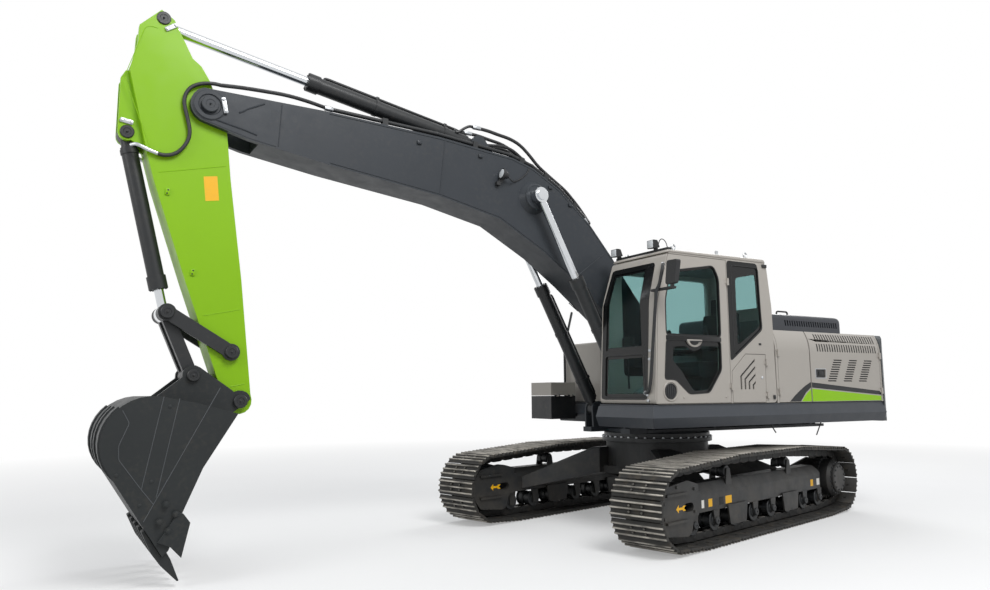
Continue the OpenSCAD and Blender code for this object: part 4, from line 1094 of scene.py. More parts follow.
@dataclass
class Undercarriage:
    """Tracks, track frames and slewing ring."""

    body: str = "undercarriage"
    yaw: float = math.radians(13.2)
    half_gauge: float = 1.295
    belt: Belt = field(default_factory=Belt)

    def side(self, sign: int) -> Matrix:
        """Returns the frame of one track."""
        return Matrix.Rotation(self.yaw, 4, "Z") @ Matrix.Translation((0, sign * self.half_gauge, 0))

    @staticmethod
    def worn(model: bpy.types.Object, wear: Callable[[float], float]) -> bpy.types.Object:
        """Stores wear on a mesh, from the height of each of its points.

        Args:
            model: A shoe or link.
            wear: Gives the wear from 0 to 1 at a height.

        Returns:
            The model.
        """
        values = model.data.attributes.new("wear", "FLOAT", "POINT").data
        for value, vertex in zip(values, model.data.vertices):
            value.value = wear(vertex.co.z)
        return model

    def shoe(self) -> bpy.types.Object:
        """Models one shoe with three grousers, lapped edges and four bolts.

        Returns:
            The shoe, with its wear as a mesh attribute.
        """
        half = self.belt.pitch() / 2
        outline = [(-half + 0.003, -0.006), (-half - 0.004, 0.004), (-half + 0.008, 0.013)]
        for at in (-0.62 * half, 0.0, 0.62 * half):
            outline += [(at - 0.017, 0.015), (at - 0.006, 0.0385), (at + 0.006, 0.0385), (at + 0.017, 0.015)]
        outline += [(half - 0.012, 0.013), (half - 0.004, 0.002), (half - 0.008, -0.007)]
        plate = prism(outline, (-0.299, 0.299), round_by=0.0025, segments=1)
        spots = [(x, y) for x in (-0.029, 0.029) for y in (-0.075, 0.075)]
        heads = [bar((x, y, 0.012), (x, y, 0.030), 0.014, 0.002, 6) for x, y in spots]
        slots = [box((-0.012, y - 0.02, -0.012), (0.012, y + 0.02, 0.020), 0.003, 1) for y in (-0.19, 0.19)]
        return self.worn(join([plate, *heads, *slots]), lambda z: max(0.0, min(1.0, (z - 0.014) / 0.024)))

    def link(self) -> bpy.types.Object:
        """Models one pair of chain links with a bushing."""
        half = self.belt.pitch() / 2
        outline = soft(
            [
                (-half - 0.03, -0.018), (half - 0.03, -0.018), (half + 0.012, -0.040), (half + 0.012, -0.072),
                (half - 0.05, -0.094), (-half + 0.03, -0.094), (-half - 0.034, -0.074),
            ],
            0.014,
            2,
        )
        plates = [prism(outline, (y, y + 0.036), round_by=0.003, segments=1) for y in (-0.092, 0.056)]
        bush = bar((-half, -0.093, -0.054), (-half, 0.093, -0.054), 0.03, 0.003, 14)
        return self.worn(join([*plates, bush]), lambda z: 0.9 if z < -0.09 else 0.0)

    def drive_bolts(self) -> bpy.types.Object:
        """Models the bolts of the final drive and of its cover, on the outer side."""
        x, z, _ = self.belt.wheels[-1]
        spots = []
        for count, radius, y in ((20, 0.196, 0.189), (12, 0.150, 0.2245)):
            spots += [((x + radius * c, y, z + radius * s), LEFT) for c, s in around(count, 0.5)]
        return bolts(spots, 0.0105, 0.011)

    def guard_bolts(self) -> bpy.types.Object:
        """Models the idler guard's bolts, on the outer side."""
        spots = ((1.585, 0.38), (1.585, 0.60), (2.12, 0.36), (2.12, 0.50), (1.9, 0.64))
        return bolts([((x, 0.1995, z), LEFT) for x, z in spots], 0.015, 0.014)

    def roller_caps(self) -> bpy.types.Object:
        """Models the end caps of the bottom rollers, on the outer side."""
        cap = turned(
            [(0, 0), (0.042, 0), (0.042, 0.010), (0.034, 0.017), (0.012, 0.018), (0.010, 0.012), (0, 0.012)],
            (0, 0, 0),
            LEFT,
            20,
        )
        return copies(cap, [Matrix.Translation((-1.48 + k * 2.96 / 7, 0.1385, 0.222)) for k in range(8)])

    def arrow(self) -> bpy.types.Object:
        """Models the plain travel arrows on both sides of an idler guard."""
        outline = [
            (1.745, 0.405), (1.775, 0.430), (1.745, 0.455), (1.790, 0.455), (1.805, 0.442), (1.870, 0.442),
            (1.870, 0.468), (1.915, 0.430), (1.870, 0.392), (1.870, 0.418), (1.805, 0.418), (1.790, 0.405),
        ]
        return mirrored(prism(outline, (0.1994, 0.2012)))

    def side_plates(self) -> bpy.types.Object:
        """Models the smooth plates that close both sides of a track frame."""
        outline = soft([(-1.515, 0.362), (1.505, 0.362), (1.505, 0.515), (-1.515, 0.515)], 0.02)
        return mirrored(prism(outline, (0.1296, 0.1320), round_by=0.001, segments=1))

    def patches(self, spans: Sequence[Point]) -> bpy.types.Object:
        """Models flat patches on the outer side of a track frame: blank stickers, and painted shade for the adjuster's
        hole.

        Args:
            spans: Where each patch starts and ends along the frame.

        Returns:
            The patches.
        """
        low, high = 0.375, 0.455
        outlines = [[(a, low), (b, low), (b, high), (a, high)] for a, b in spans]
        return join([prism(outline, (0.1318, 0.1327)) for outline in outlines])

    def place_sides(self, make: Callable[[], bpy.types.Object], name: str, look: Look) -> None:
        """Makes a piece for both tracks and turns it outwards on each.

        Args:
            make: Models the piece for the left track, in the track's own frame.
            name: Stem of its name.
            look: Its finish.
        """
        for sign, end in SIDES:
            obj = make()
            if sign < 0:
                obj.data.transform(ACROSS)
                obj.data.flip_normals()
            obj.data.transform(self.side(sign))
            place(obj, f"{name}_{end}", self.body, look)

    def build(self) -> None:
        """Models the tracks and dresses the undercarriage."""
        for sign, end in SIDES:
            places = [self.side(sign) @ spot for spot in self.belt.places()]
            shoes = copies(self.shoe(), places)
            place(shoes, f"track_shoes_{end}", self.body, Look.TRACK, "track_steel")
            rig.replaces(shoes, f"track_{end}")
            place(copies(self.link(), places), f"track_chain_{end}", self.body, Look.CHAIN, "track_steel")
            dress(f"track_frame_{end}", Look.CHASSIS, 0.005)
            dress(f"rollers_{end}", Look.GEAR, 0.003)
            dress(f"sprocket_{end}", Look.CHASSIS, 0.003)
        patches = {
            "amber_patches": (Look.AMBER, ((1.128, 1.203), (0.725, 0.856), (-1.318, -1.244))),
            "pale_patches": (Look.PALE, ((1.289, 1.387), (-1.505, -1.422))),
            # The adjuster's hole is a flat patch of painted shade.
            "adjuster_hole_shade": (Look.VOID, ((0.897, 0.988),)),
        }
        self.place_sides(self.drive_bolts, "drive_bolts", Look.GEAR)
        self.place_sides(self.guard_bolts, "idler_guard_fittings", Look.CHASSIS)
        self.place_sides(self.roller_caps, "roller_caps", Look.GEAR)
        self.place_sides(self.arrow, "travel_arrow", Look.AMBER)
        self.place_sides(self.side_plates, "track_frame_plates", Look.CHASSIS)
        for name, (look, spans) in patches.items():
            self.place_sides(partial(self.patches, spans), name, look)
        dress("car_body", Look.CHASSIS, 0.008)
        dress("slew_ring", Look.GEAR, 0.004)
        radius = 0.678
        spots = [((radius * c, radius * s, 1.0066), UP) for c, s in around(40)]
        place(bolts(spots, 0.014, 0.016), "slew_ring_bolts", self.body, Look.ZINC)


# Upper structure

SIDE_Y = 1.380


@dataclass
class UpperDeck:
    """Deck, centre frame, tanks, tool box and rails."""

    body: str = "upper"

    def drain_hoses(self) -> bpy.types.Object:
        """Models the two short drain hoses under the left side."""
        runs = [
            [(-0.58, 1.25, 1.22), (-0.619, 1.3, 1.171), (-0.688, 1.31, 1.074)],
            [(-1.62, 1.25, 1.22), (-1.545, 1.3, 1.167), (-1.437, 1.31, 1.024)],
        ]
        return join([pipe(run, 0.0075, 0.03) for run in runs])

    def boom_hoses(self) -> bpy.types.Object:
        """Models the bundle of hoses that climbs from the deck to the boom's foot."""
        runs = []
        for k, y in enumerate((-0.18, -0.11, -0.04, 0.04, 0.11, 0.18)):
            path = [(-0.75, 1.12), (-0.62, 1.62 + 0.02 * (k % 2)), (-0.40, 2.02), (-0.22, 2.05)]
            runs.append(pipe([(x, y, z) for x, z in path], 0.021, 0.22))
        return join(runs)

    def build(self) -> None:
        """Dresses the deck and what stands on it."""
        dress("deck", Look.SKIRT, 0.008, 3)
        dress("center_frame", Look.FRAME, 0.005)
        dress("tanks", Look.BODY, 0.02, 3)
        dress("tool_box", Look.GEAR, 0.012, 3)
        dress("tool_box_lid", Look.BODY, 0.045, 4)
        dress("handrails", Look.GEAR, 0)
        dress("engine", Look.GEAR, 0.01)
        place(self.drain_hoses(), "drain_hoses", self.body, Look.HOSE)
        place(self.boom_hoses(), "boom_foot_hoses", self.body, Look.HOSE)


@dataclass
class Housing:
    """Engine housing with its doors, hood and stripe, and the counterweight."""

    body: str = "upper"
    face: float = SIDE_Y
    shoulder_y: float = 0.88
    shoulder_z: float = 2.044

    def sticker(self, outline: Sequence[Point], name: str, body: str, look: Look) -> None:
        """Lays a thin coloured film on the left face.

        Args:
            outline: Corners as X and Z.
            name: Name of the film.
            body: Body that carries it.
            look: Its finish.
        """
        place(prism(outline, (self.face - 0.0006, self.face + 0.0011)), name, body, look)

    def stripe(self) -> None:
        """Lays the black and lime stripe along the foot of the left side."""
        front, rear = "left_front_door", "left_rear_door"
        black = [
            (-0.885, 1.437), (-0.99, 1.515), (-1.093, 1.578), (-1.18, 1.625), (-1.289, 1.672),
            (-1.289, 1.606), (-1.19, 1.545), (-1.14, 1.495), (-1.085, 1.437),
        ]
        self.sticker(black, "stripe_black_front", front, Look.STRIPE_DARK)
        lime = [(-1.105, 1.437), (-1.15, 1.486), (-1.2, 1.531), (-1.289, 1.586), (-1.289, 1.437)]
        self.sticker(lime, "stripe_lime_front", front, Look.STRIPE)
        black = [(-1.311, 1.668), (-2.719, 1.556), (-2.719, 1.508), (-1.311, 1.604)]
        self.sticker(black, "stripe_black_rear", rear, Look.STRIPE_DARK)
        lime = [(-1.311, 1.590), (-2.719, 1.494), (-2.719, 1.437), (-1.311, 1.437)]
        self.sticker(lime, "stripe_lime_rear", rear, Look.STRIPE)

    def shoulder(self, sweep: float, outer: float, inner: float) -> list[tuple[float, float]]:
        """Returns the section of a shell along the left shoulder as Y and Z.

        Args:
            sweep: How far it reaches up the round, in degrees.
            outer: Its outer radius.
            inner: Its inner radius.

        Returns:
            The section's corners.
        """
        turns = [math.radians(sweep * k / 8) for k in range(9)]
        corners = [(outer, a) for a in turns] + [(inner, a) for a in reversed(turns)]
        return [(self.shoulder_y + r * math.cos(a), self.shoulder_z + r * math.sin(a)) for r, a in corners]

    def backing(self) -> None:
        """Sets dark sheets of painted shade into the louvres of the rear door and behind those of the hood."""
        arch = prism(self.shoulder(30, 0.4955, 0.4915), (-2.70, -1.42), Plane.END)
        door = join([arch, box((-2.66, 1.3715, 1.66), (-1.62, 1.3755, 2.02), 0.001)])
        place(door, "rear_door_louvre_shade", "left_rear_door", Look.VOID)
        place(box((-2.2, 1.105, 2.36), (-1.12, 1.112, 2.47), 0.002), "hood_louvre_shade", "hood", Look.VOID)

    def latches(self) -> None:
        """Models the paddle latch of the rear door with its lock and rim."""
        recess = soft([(-1.586, 1.73), (-1.404, 1.73), (-1.404, 1.826), (-1.586, 1.826)], 0.012)
        plate = prism(recess, (1.3655, 1.372), round_by=0.002)
        paddle = box((-1.55, 1.371, 1.752), (-1.46, 1.3795, 1.806), 0.006)
        profile = [(0, 0), (0.013, 0), (0.013, 0.004), (0.009, 0.007), (0, 0.007)]
        key = turned(profile, (-1.435, 1.371, 1.779), LEFT, 20)
        place(join([plate, paddle, key]), "rear_door_latch", "left_rear_door", Look.TRIM)
        border = soft([(-1.60, 1.716), (-1.39, 1.716), (-1.39, 1.84), (-1.60, 1.84)], 0.016)
        rim = ring(border, 0.009, (1.3785, 1.383))
        place(rim, "rear_door_latch_rim", "left_rear_door", Look.ZINC)

    def hood_fittings(self) -> None:
        """Models the grab bar and the bolts of the hood."""
        grab = pipe(
            [(-1.197, 1.0, 2.525), (-1.2, 1.0, 2.58), (-1.405, 1.0, 2.58), (-1.408, 1.0, 2.525)], 0.011, 0.03
        )
        place(grab, "hood_grab_bar", "hood", Look.GEAR)
        spots = [((x, y, 2.5295), UP) for x in (-2.1, -1.6, -0.95) for y in (-0.15, 0.95)]
        place(bolts(spots, 0.012, 0.010), "hood_bolts", "hood", Look.GEAR)

    def seams(self) -> None:
        """Sets dark rubber in the joints between the doors."""
        section = [(1.340, 1.43), (1.364, 1.43), (1.364, 2.04), (1.340, 2.04)]
        middle = prism(section, (-1.3045, -1.2955), Plane.END)
        front = box((-0.66, 1.335, 1.432), (-0.6645, 1.370, 2.04))
        place(join([middle, front]), "door_seals", self.body, Look.SEAL)

    def right_panel(self) -> bpy.types.Object:
        """Models the fixed rounded panel above the tanks on the right side."""
        section = [(-y, z) for y, z in self.shoulder(31, 0.5, 0.46)]
        return prism(section, (-1.636, -0.666), Plane.END)

    def build(self) -> None:
        """Dresses the housing, its doors and the counterweight."""
        for node in ("housing_frame", "left_front_door", "pump_door"):
            dress(node, Look.BODY, 0.006)
        dress("left_rear_door", Look.BODY, 0.0007, 1)
        dress("hood", Look.HOOD, 0.004)
        dress("counterweight", Look.WEIGHT, 0.02, 3)
        place(self.right_panel(), "right_shoulder_panel", self.body, Look.BODY)
        self.stripe()
        self.backing()
        self.latches()
        self.hood_fittings()
        self.seams()


# Cab


def pad(low: Point, high: Point, crown: Point) -> bpy.types.Object:
    """Models a cushion that is crowned on one side, with sides pulled in between its corners.

    Args:
        low: Lowest corner.
        high: Highest corner.
        crown: How far the crowned side rises in its middle.

    Returns:
        The cushion.
    """
    obj = box(low, high)
    in_edit(obj, "FACE", take_all, lambda: bpy.ops.mesh.subdivide(number_cuts=9))
    middle, half = (Vector(low) + Vector(high)) / 2, (Vector(high) - Vector(low)) / 2
    rise = Vector(crown)
    across = [axis for axis in range(3) if not rise[axis]]
    up = next(axis for axis in range(3) if rise[axis])
    for vertex in obj.data.vertices:
        share = [(vertex.co[k] - middle[k]) / half[k] for k in range(3)]
        dome = (1 - share[across[0]] ** 2) * (1 - share[across[1]] ** 2)
        for a, b in (across, across[::-1]):
            vertex.co[a] -= 0.010 * share[a] * (1 - share[b] ** 2)
        vertex.co += rise * (dome if share[up] > 0 else 0.0)
    return modify(ease(obj, 0.024, 4, 60), "SUBSURF", levels=1, render_levels=1)


@dataclass
class Cab:
    """Cab shell, glass, door, rails, lamps and the driver's place."""

    body: str = "upper"
    face: float = SIDE_Y
    low_window: tuple[Point, ...] = (
        (1.130, 1.690), (1.090, 2.130), (0.245, 2.130), (0.250, 1.800), (0.455, 1.545), (0.770, 1.530),
        (0.970, 1.690),
    )
    high_window: tuple[Point, ...] = (
        (1.088, 2.165), (1.085, 2.560), (1.000, 2.890), (0.320, 3.000), (0.235, 2.850), (0.240, 2.165),
    )
    quarter: tuple[Point, ...] = ((0.040, 3.030), (-0.430, 3.030), (-0.455, 2.290), (0.040, 1.950))
    front: tuple[Point, ...] = ((1.270, 1.430), (1.205, 2.570), (1.030, 3.090))
    screen_right: float = 0.530
    screen_low: float = 1.5
    screen_high: float = 2.95
    vent: Point = (1.046, SIDE_Y, 1.568)

    def front_part(self, z: float) -> tuple[Point, Point]:
        """Returns the ends of the front's flat part at a height, each as X and Z."""
        foot, knee, brow = self.front
        return (foot, knee) if z < knee[1] else (knee, brow)

    def front_x(self, z: float) -> float:
        """Returns where the cab's front face lies at a height."""
        (x0, z0), (x1, z1) = self.front_part(z)
        return x0 + (x1 - x0) * (z - z0) / (z1 - z0)

    def screen_left(self, z: float) -> float:
        """Returns the windscreen's left edge at a height."""
        return 1.230 - 0.115 * (z - self.screen_low) / (self.screen_high - self.screen_low)

    def pane(self, low: float, high: float) -> list[tuple[float, float]]:
        """Returns the corners of the windscreen between two heights as Y and Z."""
        right = self.screen_right
        return [(right, low), (self.screen_left(low), low), (self.screen_left(high), high), (right, high)]

    def on_front(self, obj: bpy.types.Object, z: float) -> bpy.types.Object:
        """Leans a flat piece made at X 0 onto the front face.

        Args:
            obj: The piece.
            z: A height on the face's flat part that it lies on.

        Returns:
            The piece.
        """
        (x0, z0), (x1, z1) = self.front_part(z)
        slope = (x1 - x0) / (z1 - z0)
        lean = Matrix.Identity(4)
        lean[0][2] = slope
        lean[0][3] = x0 - slope * z0
        obj.data.transform(lean)
        return obj

    def window_bands(self) -> None:
        """Lays the fired black edge and the rubber seal round each side window."""
        low_clear = (
            (0.985, 1.900), (0.966, 2.054), (0.270, 2.072), (0.280, 1.825), (0.465, 1.580), (0.690, 1.570),
            (0.860, 1.790),
        )
        quarter_clear = ((-0.045, 2.880), (-0.385, 2.945), (-0.430, 2.330), (-0.040, 2.090))
        for name, outline, clear, reach, body, glass in (
            ("door_low", self.low_window, low_clear, 0.045, "cab_door", 0.016),
            ("quarter", self.quarter, quarter_clear, 0.050, self.body, 0.012),
            ("door_high", self.high_window, None, 0.060, "cab_door", 0.016),
        ):
            y = self.face - glass
            edge, film = soft(outline, reach), (y - 0.0002, y + 0.0012)
            band = between(edge, soft(clear, reach), film) if clear else ring(edge, 0.030, film)
            place(band, f"{name}_fired_edge", body, Look.FRIT)
            seal = ring(edge, 0.011, (y - 0.001, self.face + 0.004), round_by=0.003)
            place(seal, f"{name}_seal", body, Look.SEAL)
        rail = box((0.244, self.face - 0.002, 2.122), (1.088, self.face + 0.0042, 2.172), 0.003)
        place(rail, "door_glass_divider", "cab_door", Look.FRIT)

    def screen_bands(self) -> None:
        """Lays the fired edge and the seal round both windscreen panes."""
        split, knee, width = 2.02, self.front[1][1], 0.045
        edge = soft(self.pane(self.screen_low, 1.98), width)
        border = ring(edge, width, (-0.0122, -0.0105), Plane.END)
        seal = ring(edge, 0.012, (-0.013, 0.005), Plane.END, 0.003)
        place(self.on_front(border, split), "screen_low_fired_edge", self.body, Look.FRIT)
        place(self.on_front(seal, split), "screen_low_seal", self.body, Look.SEAL)
        bands = []
        for low, high, open_edge in ((split, knee, 2), (knee, self.screen_high, 0)):
            corners = [Vector(corner) for corner in self.pane(low, high)]
            middle = sum(corners, Vector((0, 0))) / 4
            parts = []
            for k in range(4):
                if k == open_edge:
                    continue
                a, b = corners[k], corners[(k + 1) % 4]
                way = (b - a).normalized()
                inward = Vector((-way.y, way.x))
                inward *= width if inward.dot(middle - a) > 0 else -width
                strip = [tuple(a), tuple(b), tuple(b + inward), tuple(a + inward)]
                parts.append(prism(strip, (-0.0122, -0.0103 + 0.0003 * k), Plane.END))
            bands.append(self.on_front(join(parts), low))
        place(join(bands), "screen_high_fired_edge", self.body, Look.FRIT)

    def screen_film(self) -> None:
        """Lays the black border round the windscreen and the bar between its panes."""
        lap, right, knee = 0.546, 1.262, self.front[1][1]
        foot, sill, bar_low, bar_high, top, brow = 1.478, 1.516, 1.964, 2.036, 2.934, 2.995
        edge = {z: self.screen_left(z) - 0.016 for z in (sill, bar_low, bar_high, knee, top)}
        low = [
            [(0.478, 1.515), (0.490, 1.488), (lap, foot), (lap, knee), (0.478, knee)],
            [(lap, foot), (edge[sill], foot), (edge[sill], sill), (lap, sill)],
            [
                (edge[sill], foot), (1.248, 1.488), (1.258, 1.515), (right, knee), (edge[knee], knee),
                (edge[sill], sill),
            ],
            [(lap, bar_low), (edge[bar_low], bar_low), (edge[bar_high], bar_high), (lap, bar_high)],
        ]
        high = [
            [(0.478, knee), (lap, knee), (lap, brow), (0.510, 2.988), (0.498, 2.965)],
            [(lap, top), (edge[top], top), (edge[top], brow), (lap, brow)],
            [
                (edge[knee], knee), (right, knee), (1.232, 2.96), (1.216, 2.985), (1.190, brow),
                (edge[top], brow), (edge[top], top),
            ],
        ]
        films = [
            self.on_front(join([prism(part, (-0.0010, 0.0016), Plane.END) for part in parts]), z)
            for parts, z in ((low, sill), (high, knee))
        ]
        place(join(films), "screen_black_border", self.body, Look.FRIT)
        outer = soft([(0.104, 3.075), (-0.415, 3.075), (-0.462, 2.285), (0.104, 1.900)], 0.05)
        film = between(outer, soft(self.quarter, 0.05), (self.face - 0.0010, self.face + 0.0014))
        place(film, "quarter_black_border", self.body, Look.FRIT)

    @staticmethod
    def bowl(x: float, z: float, wide: float, deep: float) -> list[tuple[float, float]]:
        """Returns the lower half of an oval as X and Z, from its middle and its reaches."""
        turns = [math.pi * k / 18 for k in range(19)]
        return [(x + wide * math.cos(a), z - deep * math.sin(a)) for a in turns]

    def door_fittings(self) -> None:
        """Models the handle, the vent and the bolts of the cab door."""
        door = "cab_door"
        mask = prism(self.bowl(0.663, 2.140, 0.150, 0.128), (1.362, 1.3665))
        place(mask, "door_handle_mask", door, Look.FRIT)
        cup = prism(self.bowl(0.663, 2.138, 0.118, 0.086), (1.366, 1.386), round_by=0.006)
        place(cup, "door_handle_cup", door, Look.BODY)
        hollow = prism(self.bowl(0.672, 2.122, 0.070, 0.050), (1.384, 1.3872), round_by=0.001)
        path = [(0.722, 1.386, 2.108), (0.715, 1.402, 2.112), (0.58, 1.402, 2.116), (0.565, 1.387, 2.116)]
        place(join([hollow, pipe(path, 0.008, 0.012)]), "door_handle", door, Look.TRIM)
        profile = [
            (0.092, -0.002), (0.108, -0.002), (0.108, 0.006), (0.102, 0.010), (0.095, 0.008), (0.092, 0.003),
        ]
        place(turned(profile, self.vent, LEFT, 40), "door_vent_rim", door, Look.BODY)
        profile = [(0, -0.001), (0.084, -0.001), (0.084, 0.006), (0.077, 0.009), (0.073, 0.003), (0, 0.003)]
        grille = [turned(profile, self.vent, LEFT, 40)]
        for step, half in ((-0.044, 0.054), (-0.015, 0.069), (0.015, 0.069), (0.044, 0.054)):
            x, y, z = self.vent[0] + step, self.vent[1], self.vent[2]
            grille.append(box((x - 0.005, y + 0.002, z - half), (x + 0.005, y + 0.008, z + half), 0.002))
        place(join(grille), "door_vent_grille", door, Look.TRIM)
        spots = [((x, self.face - 0.0005, z), LEFT) for x, z in ((0.852, 1.499), (0.20, 1.50))]
        place(bolts(spots, 0.010, 0.008), "door_bolts", door, Look.BODY)

    def shell_fittings(self) -> None:
        """Models locks, the rear lamp and the roof's lifting eyes."""
        profile = [(0, -0.001), (0.017, -0.001), (0.017, 0.004), (0.012, 0.008), (0, 0.008)]
        lock = turned(profile, (-0.413, self.face, 1.722), LEFT, 20)
        place(lock, "service_lock", "service_door", Look.ZINC)
        # The service door's grooves are thin dark films of painted shade.
        chevrons = []
        rear, foot = -0.3025, 1.5865
        for k in range(4):
            x, z = -0.045 - 0.067 * k, 1.740 - 0.0335 * k
            rise = (x + 0.303) * 0.79
            outline = [
                (rear, z + rise - 0.0005), (x - 0.0005, z), (x - 0.0005, foot), (x - 0.0255, foot),
                (x - 0.0255, z - 0.012), (rear, z + rise - 0.0325),
            ]
            chevrons.append(prism(outline, (1.3655, 1.3672)))
        place(join(chevrons), "service_door_groove_shade", "service_door", Look.VOID)
        plate = box((-0.425, self.face - 0.001, 2.100), (-0.381, self.face + 0.004, 2.126), 0.003)
        lamp = box((-0.575, self.face - 0.001, 3.035), (-0.495, self.face + 0.018, 3.075), 0.008, 3)
        catch = box((-0.625, self.face - 0.001, 1.470), (-0.588, self.face + 0.014, 1.518), 0.006)
        place(join([plate, lamp, catch]), "cab_side_fittings", self.body, Look.TRIM)
        eyes = []
        for x, y in ((0.855, 1.30), (-0.311, 1.30), (0.86, 0.54), (-0.311, 0.54)):
            z = 3.125 + 0.015 * (1.01 - x) / 1.555
            deselect()
            bpy.ops.mesh.primitive_torus_add(
                location=(x, y, z + 0.048),
                rotation=(math.pi / 2, 0, 0),
                major_radius=0.026,
                minor_radius=0.009,
                major_segments=24,
                minor_segments=10,
            )
            eyes += [settle(bpy.context.object), bar((x, y, z - 0.001), (x, y, z + 0.026), 0.016, 0.003, 16)]
        profile = [
            (0, -0.001), (0.03, -0.001), (0.03, 0.012), (0.016, 0.016), (0.02, 0.05), (0.012, 0.06),
            (0, 0.062),
        ]
        knob = turned(profile, (0.171, 1.30, 3.134), UP, 24)
        place(join([*eyes, knob]), "roof_eyes", self.body, Look.ZINC)

    def rails(self) -> None:
        """Models the grab rail beside the windscreen with its brackets."""
        path = [
            (1.268, 1.23, 1.551), (1.292, 1.31, 1.560), (1.290, 1.342, 1.69), (1.262, 1.443, 2.648),
            (1.250, 1.475, 2.69), (1.225, 1.507, 2.87), (1.170, 1.457, 2.935), (1.085, 1.375, 2.95),
        ]
        rail = pipe(path, 0.018, 0.05)
        pads = bolts([((1.2635, 1.225, 1.551), FORWARD), ((1.087, 1.372, 2.95), (0.4, 1, 0))], 0.018, 0.016)
        profile = [(0, 0), (0.018, 0), (0.018, 0.01), (0.011, 0.016), (0, 0.017)]
        knobs = [
            turned(profile, (self.front_x(z) - 0.001, y, z), (1, 0, 0.05), 20)
            for y, z in ((1.287, 2.005), (1.283, 1.913), (1.26, 1.53), (1.27, 1.47))
        ]
        place(rail, "cab_grab_rail", self.body, Look.GEAR)
        place(join([pads, *knobs]), "cab_rail_fittings", self.body, Look.ZINC)

    def lamps(self) -> None:
        """Models the lenses and wires of the roof lamps."""
        spots = (0.505, 1.140)
        lenses = [box((1.046, y - 0.044, 3.172), (1.054, y + 0.044, 3.256), 0.006) for y in spots]
        place(join(lenses), "roof_lamp_lenses", self.body, Look.LENS)
        across = [(0.96, spots[0], 3.17), (0.93, 0.58, 3.15), (0.93, 1.06, 3.15), (0.96, spots[1], 3.17)]
        loop = [(1.165, 3.20), (1.19, 3.262), (1.235, 3.275), (1.29, 3.23), (1.325, 3.125)]
        wires = [pipe(across, 0.006, 0.05), pipe([(0.955, y, z) for y, z in loop], 0.005, 0.04)]
        place(join(wires), "roof_lamp_wires", self.body, Look.HOSE)

    def mirror(self) -> None:
        """Models the mirror's glass and the clamp on its arm."""
        outline = soft([(1.572, 2.700), (1.698, 2.700), (1.742, 2.930), (1.604, 2.935)], 0.024)
        place(prism(outline, (1.1885, 1.1915), Plane.END, 0.001), "mirror_glass", self.body, Look.CHROME)
        clamp = bar((1.222, 1.64, 2.640), (1.222, 1.64, 2.705), 0.020, 0.004, 20)
        place(clamp, "mirror_clamp", self.body, Look.TRIM)

    def inside(self) -> None:
        """Models the seat's cushions, the levers, the screen and the pedals."""
        cushion = pad((-0.19, 0.685, 1.835), (0.385, 1.155, 1.902), (0, 0, 0.022))
        back = pad((-0.23, 0.70, 1.91), (-0.128, 1.14, 2.47), (0.020, 0, 0))
        hinge = Matrix.Translation((-0.16, 0, 1.9))
        back.data.transform(hinge @ Matrix.Rotation(math.radians(-6), 4, "Y") @ hinge.inverted())
        pads = place(join([cushion, back]), "seat_cushions", self.body, Look.SEAT, "seat_fabric")
        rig.padded(pads, 0.8)
        boot = [(0, 0), (0.045, 0), (0.038, 0.02), (0.042, 0.035), (0.030, 0.055), (0.014, 0.07), (0, 0.07)]
        grip = [
            (0, 0.05), (0.014, 0.05), (0.016, 0.11), (0.024, 0.15), (0.026, 0.21), (0.018, 0.235), (0, 0.24),
        ]
        sticks = []
        for y in (0.60, 1.20):
            at = (0.26, y, 2.078)
            sticks.append(box((-0.05, y - 0.05, 2.03), (0.33, y + 0.05, 2.08), 0.015, 3))
            sticks += [turned(boot, at, UP, 20), turned(grip, at, (0.15, 0, 1), 20)]
        place(join(sticks), "armrests_and_levers", self.body, Look.TRIM, "console_plastic")
        screen = box((0.93, 0.52, 2.02), (0.97, 0.70, 2.20), 0.012, 3)
        stalk = pipe([(0.95, 0.60, 1.60), (0.96, 0.60, 2.03)], 0.012)
        pedals = [box((0.72, y - 0.05, 1.66), (0.84, y + 0.05, 1.675), 0.004) for y in (0.84, 1.0)]
        path = ((0.86, 1.60), (0.80, 1.85), (0.74, 1.98))
        levers = [pipe([(x, y, z) for x, z in path], 0.011, 0.08) for y in (0.87, 0.97)]
        front = join([screen, stalk, *pedals, *levers])
        place(front, "monitor_and_pedals", self.body, Look.TRIM, "console_plastic")

    def lining(self) -> None:
        """Models the dark headlining, the rear wall's trim and the floor mat."""
        outline = soft([(-0.50, 0.56), (0.96, 0.56), (0.96, 1.29), (-0.50, 1.29)], 0.06)
        head = prism(outline, (3.005, 3.030), Plane.PLAN, 0.008)
        rear = box((-0.585, 0.56, 1.50), (-0.560, 1.29, 2.42), 0.010)
        mat = box((-0.50, 0.56, 1.4805), (1.12, 1.29, 1.4925), 0.004)
        place(join([head, rear, mat]), "cab_lining", self.body, Look.LINER, "console_plastic")

    def build(self) -> None:
        """Dresses the cab and models what it lacks."""
        for node, look, round_by, segments in (
            ("cab_frame", Look.BODY, 0.010, 3),
            ("cab_roof", Look.BODY, 0.016, 3),
            ("cab_door", Look.BODY, 0.004, 2),
            ("service_door", Look.BODY, 0.004, 2),
            ("cab_glass", Look.GLASS, 0, 2),
            ("door_glass", Look.GLASS, 0, 2),
            ("cab_seat", Look.SEAT, 0.02, 3),
            ("cab_console", Look.LINER, 0.012, 3),
            ("mirror", Look.TRIM, 0.010, 3),
            ("roof_lamps", Look.TRIM, 0.006, 2),
        ):
            dress(node, look, round_by, segments)
        self.window_bands()
        self.screen_bands()
        self.screen_film()
        self.door_fittings()
        self.shell_fittings()
        self.rails()
        self.lamps()
        self.mirror()
        self.lining()
        self.inside()


# Working gear

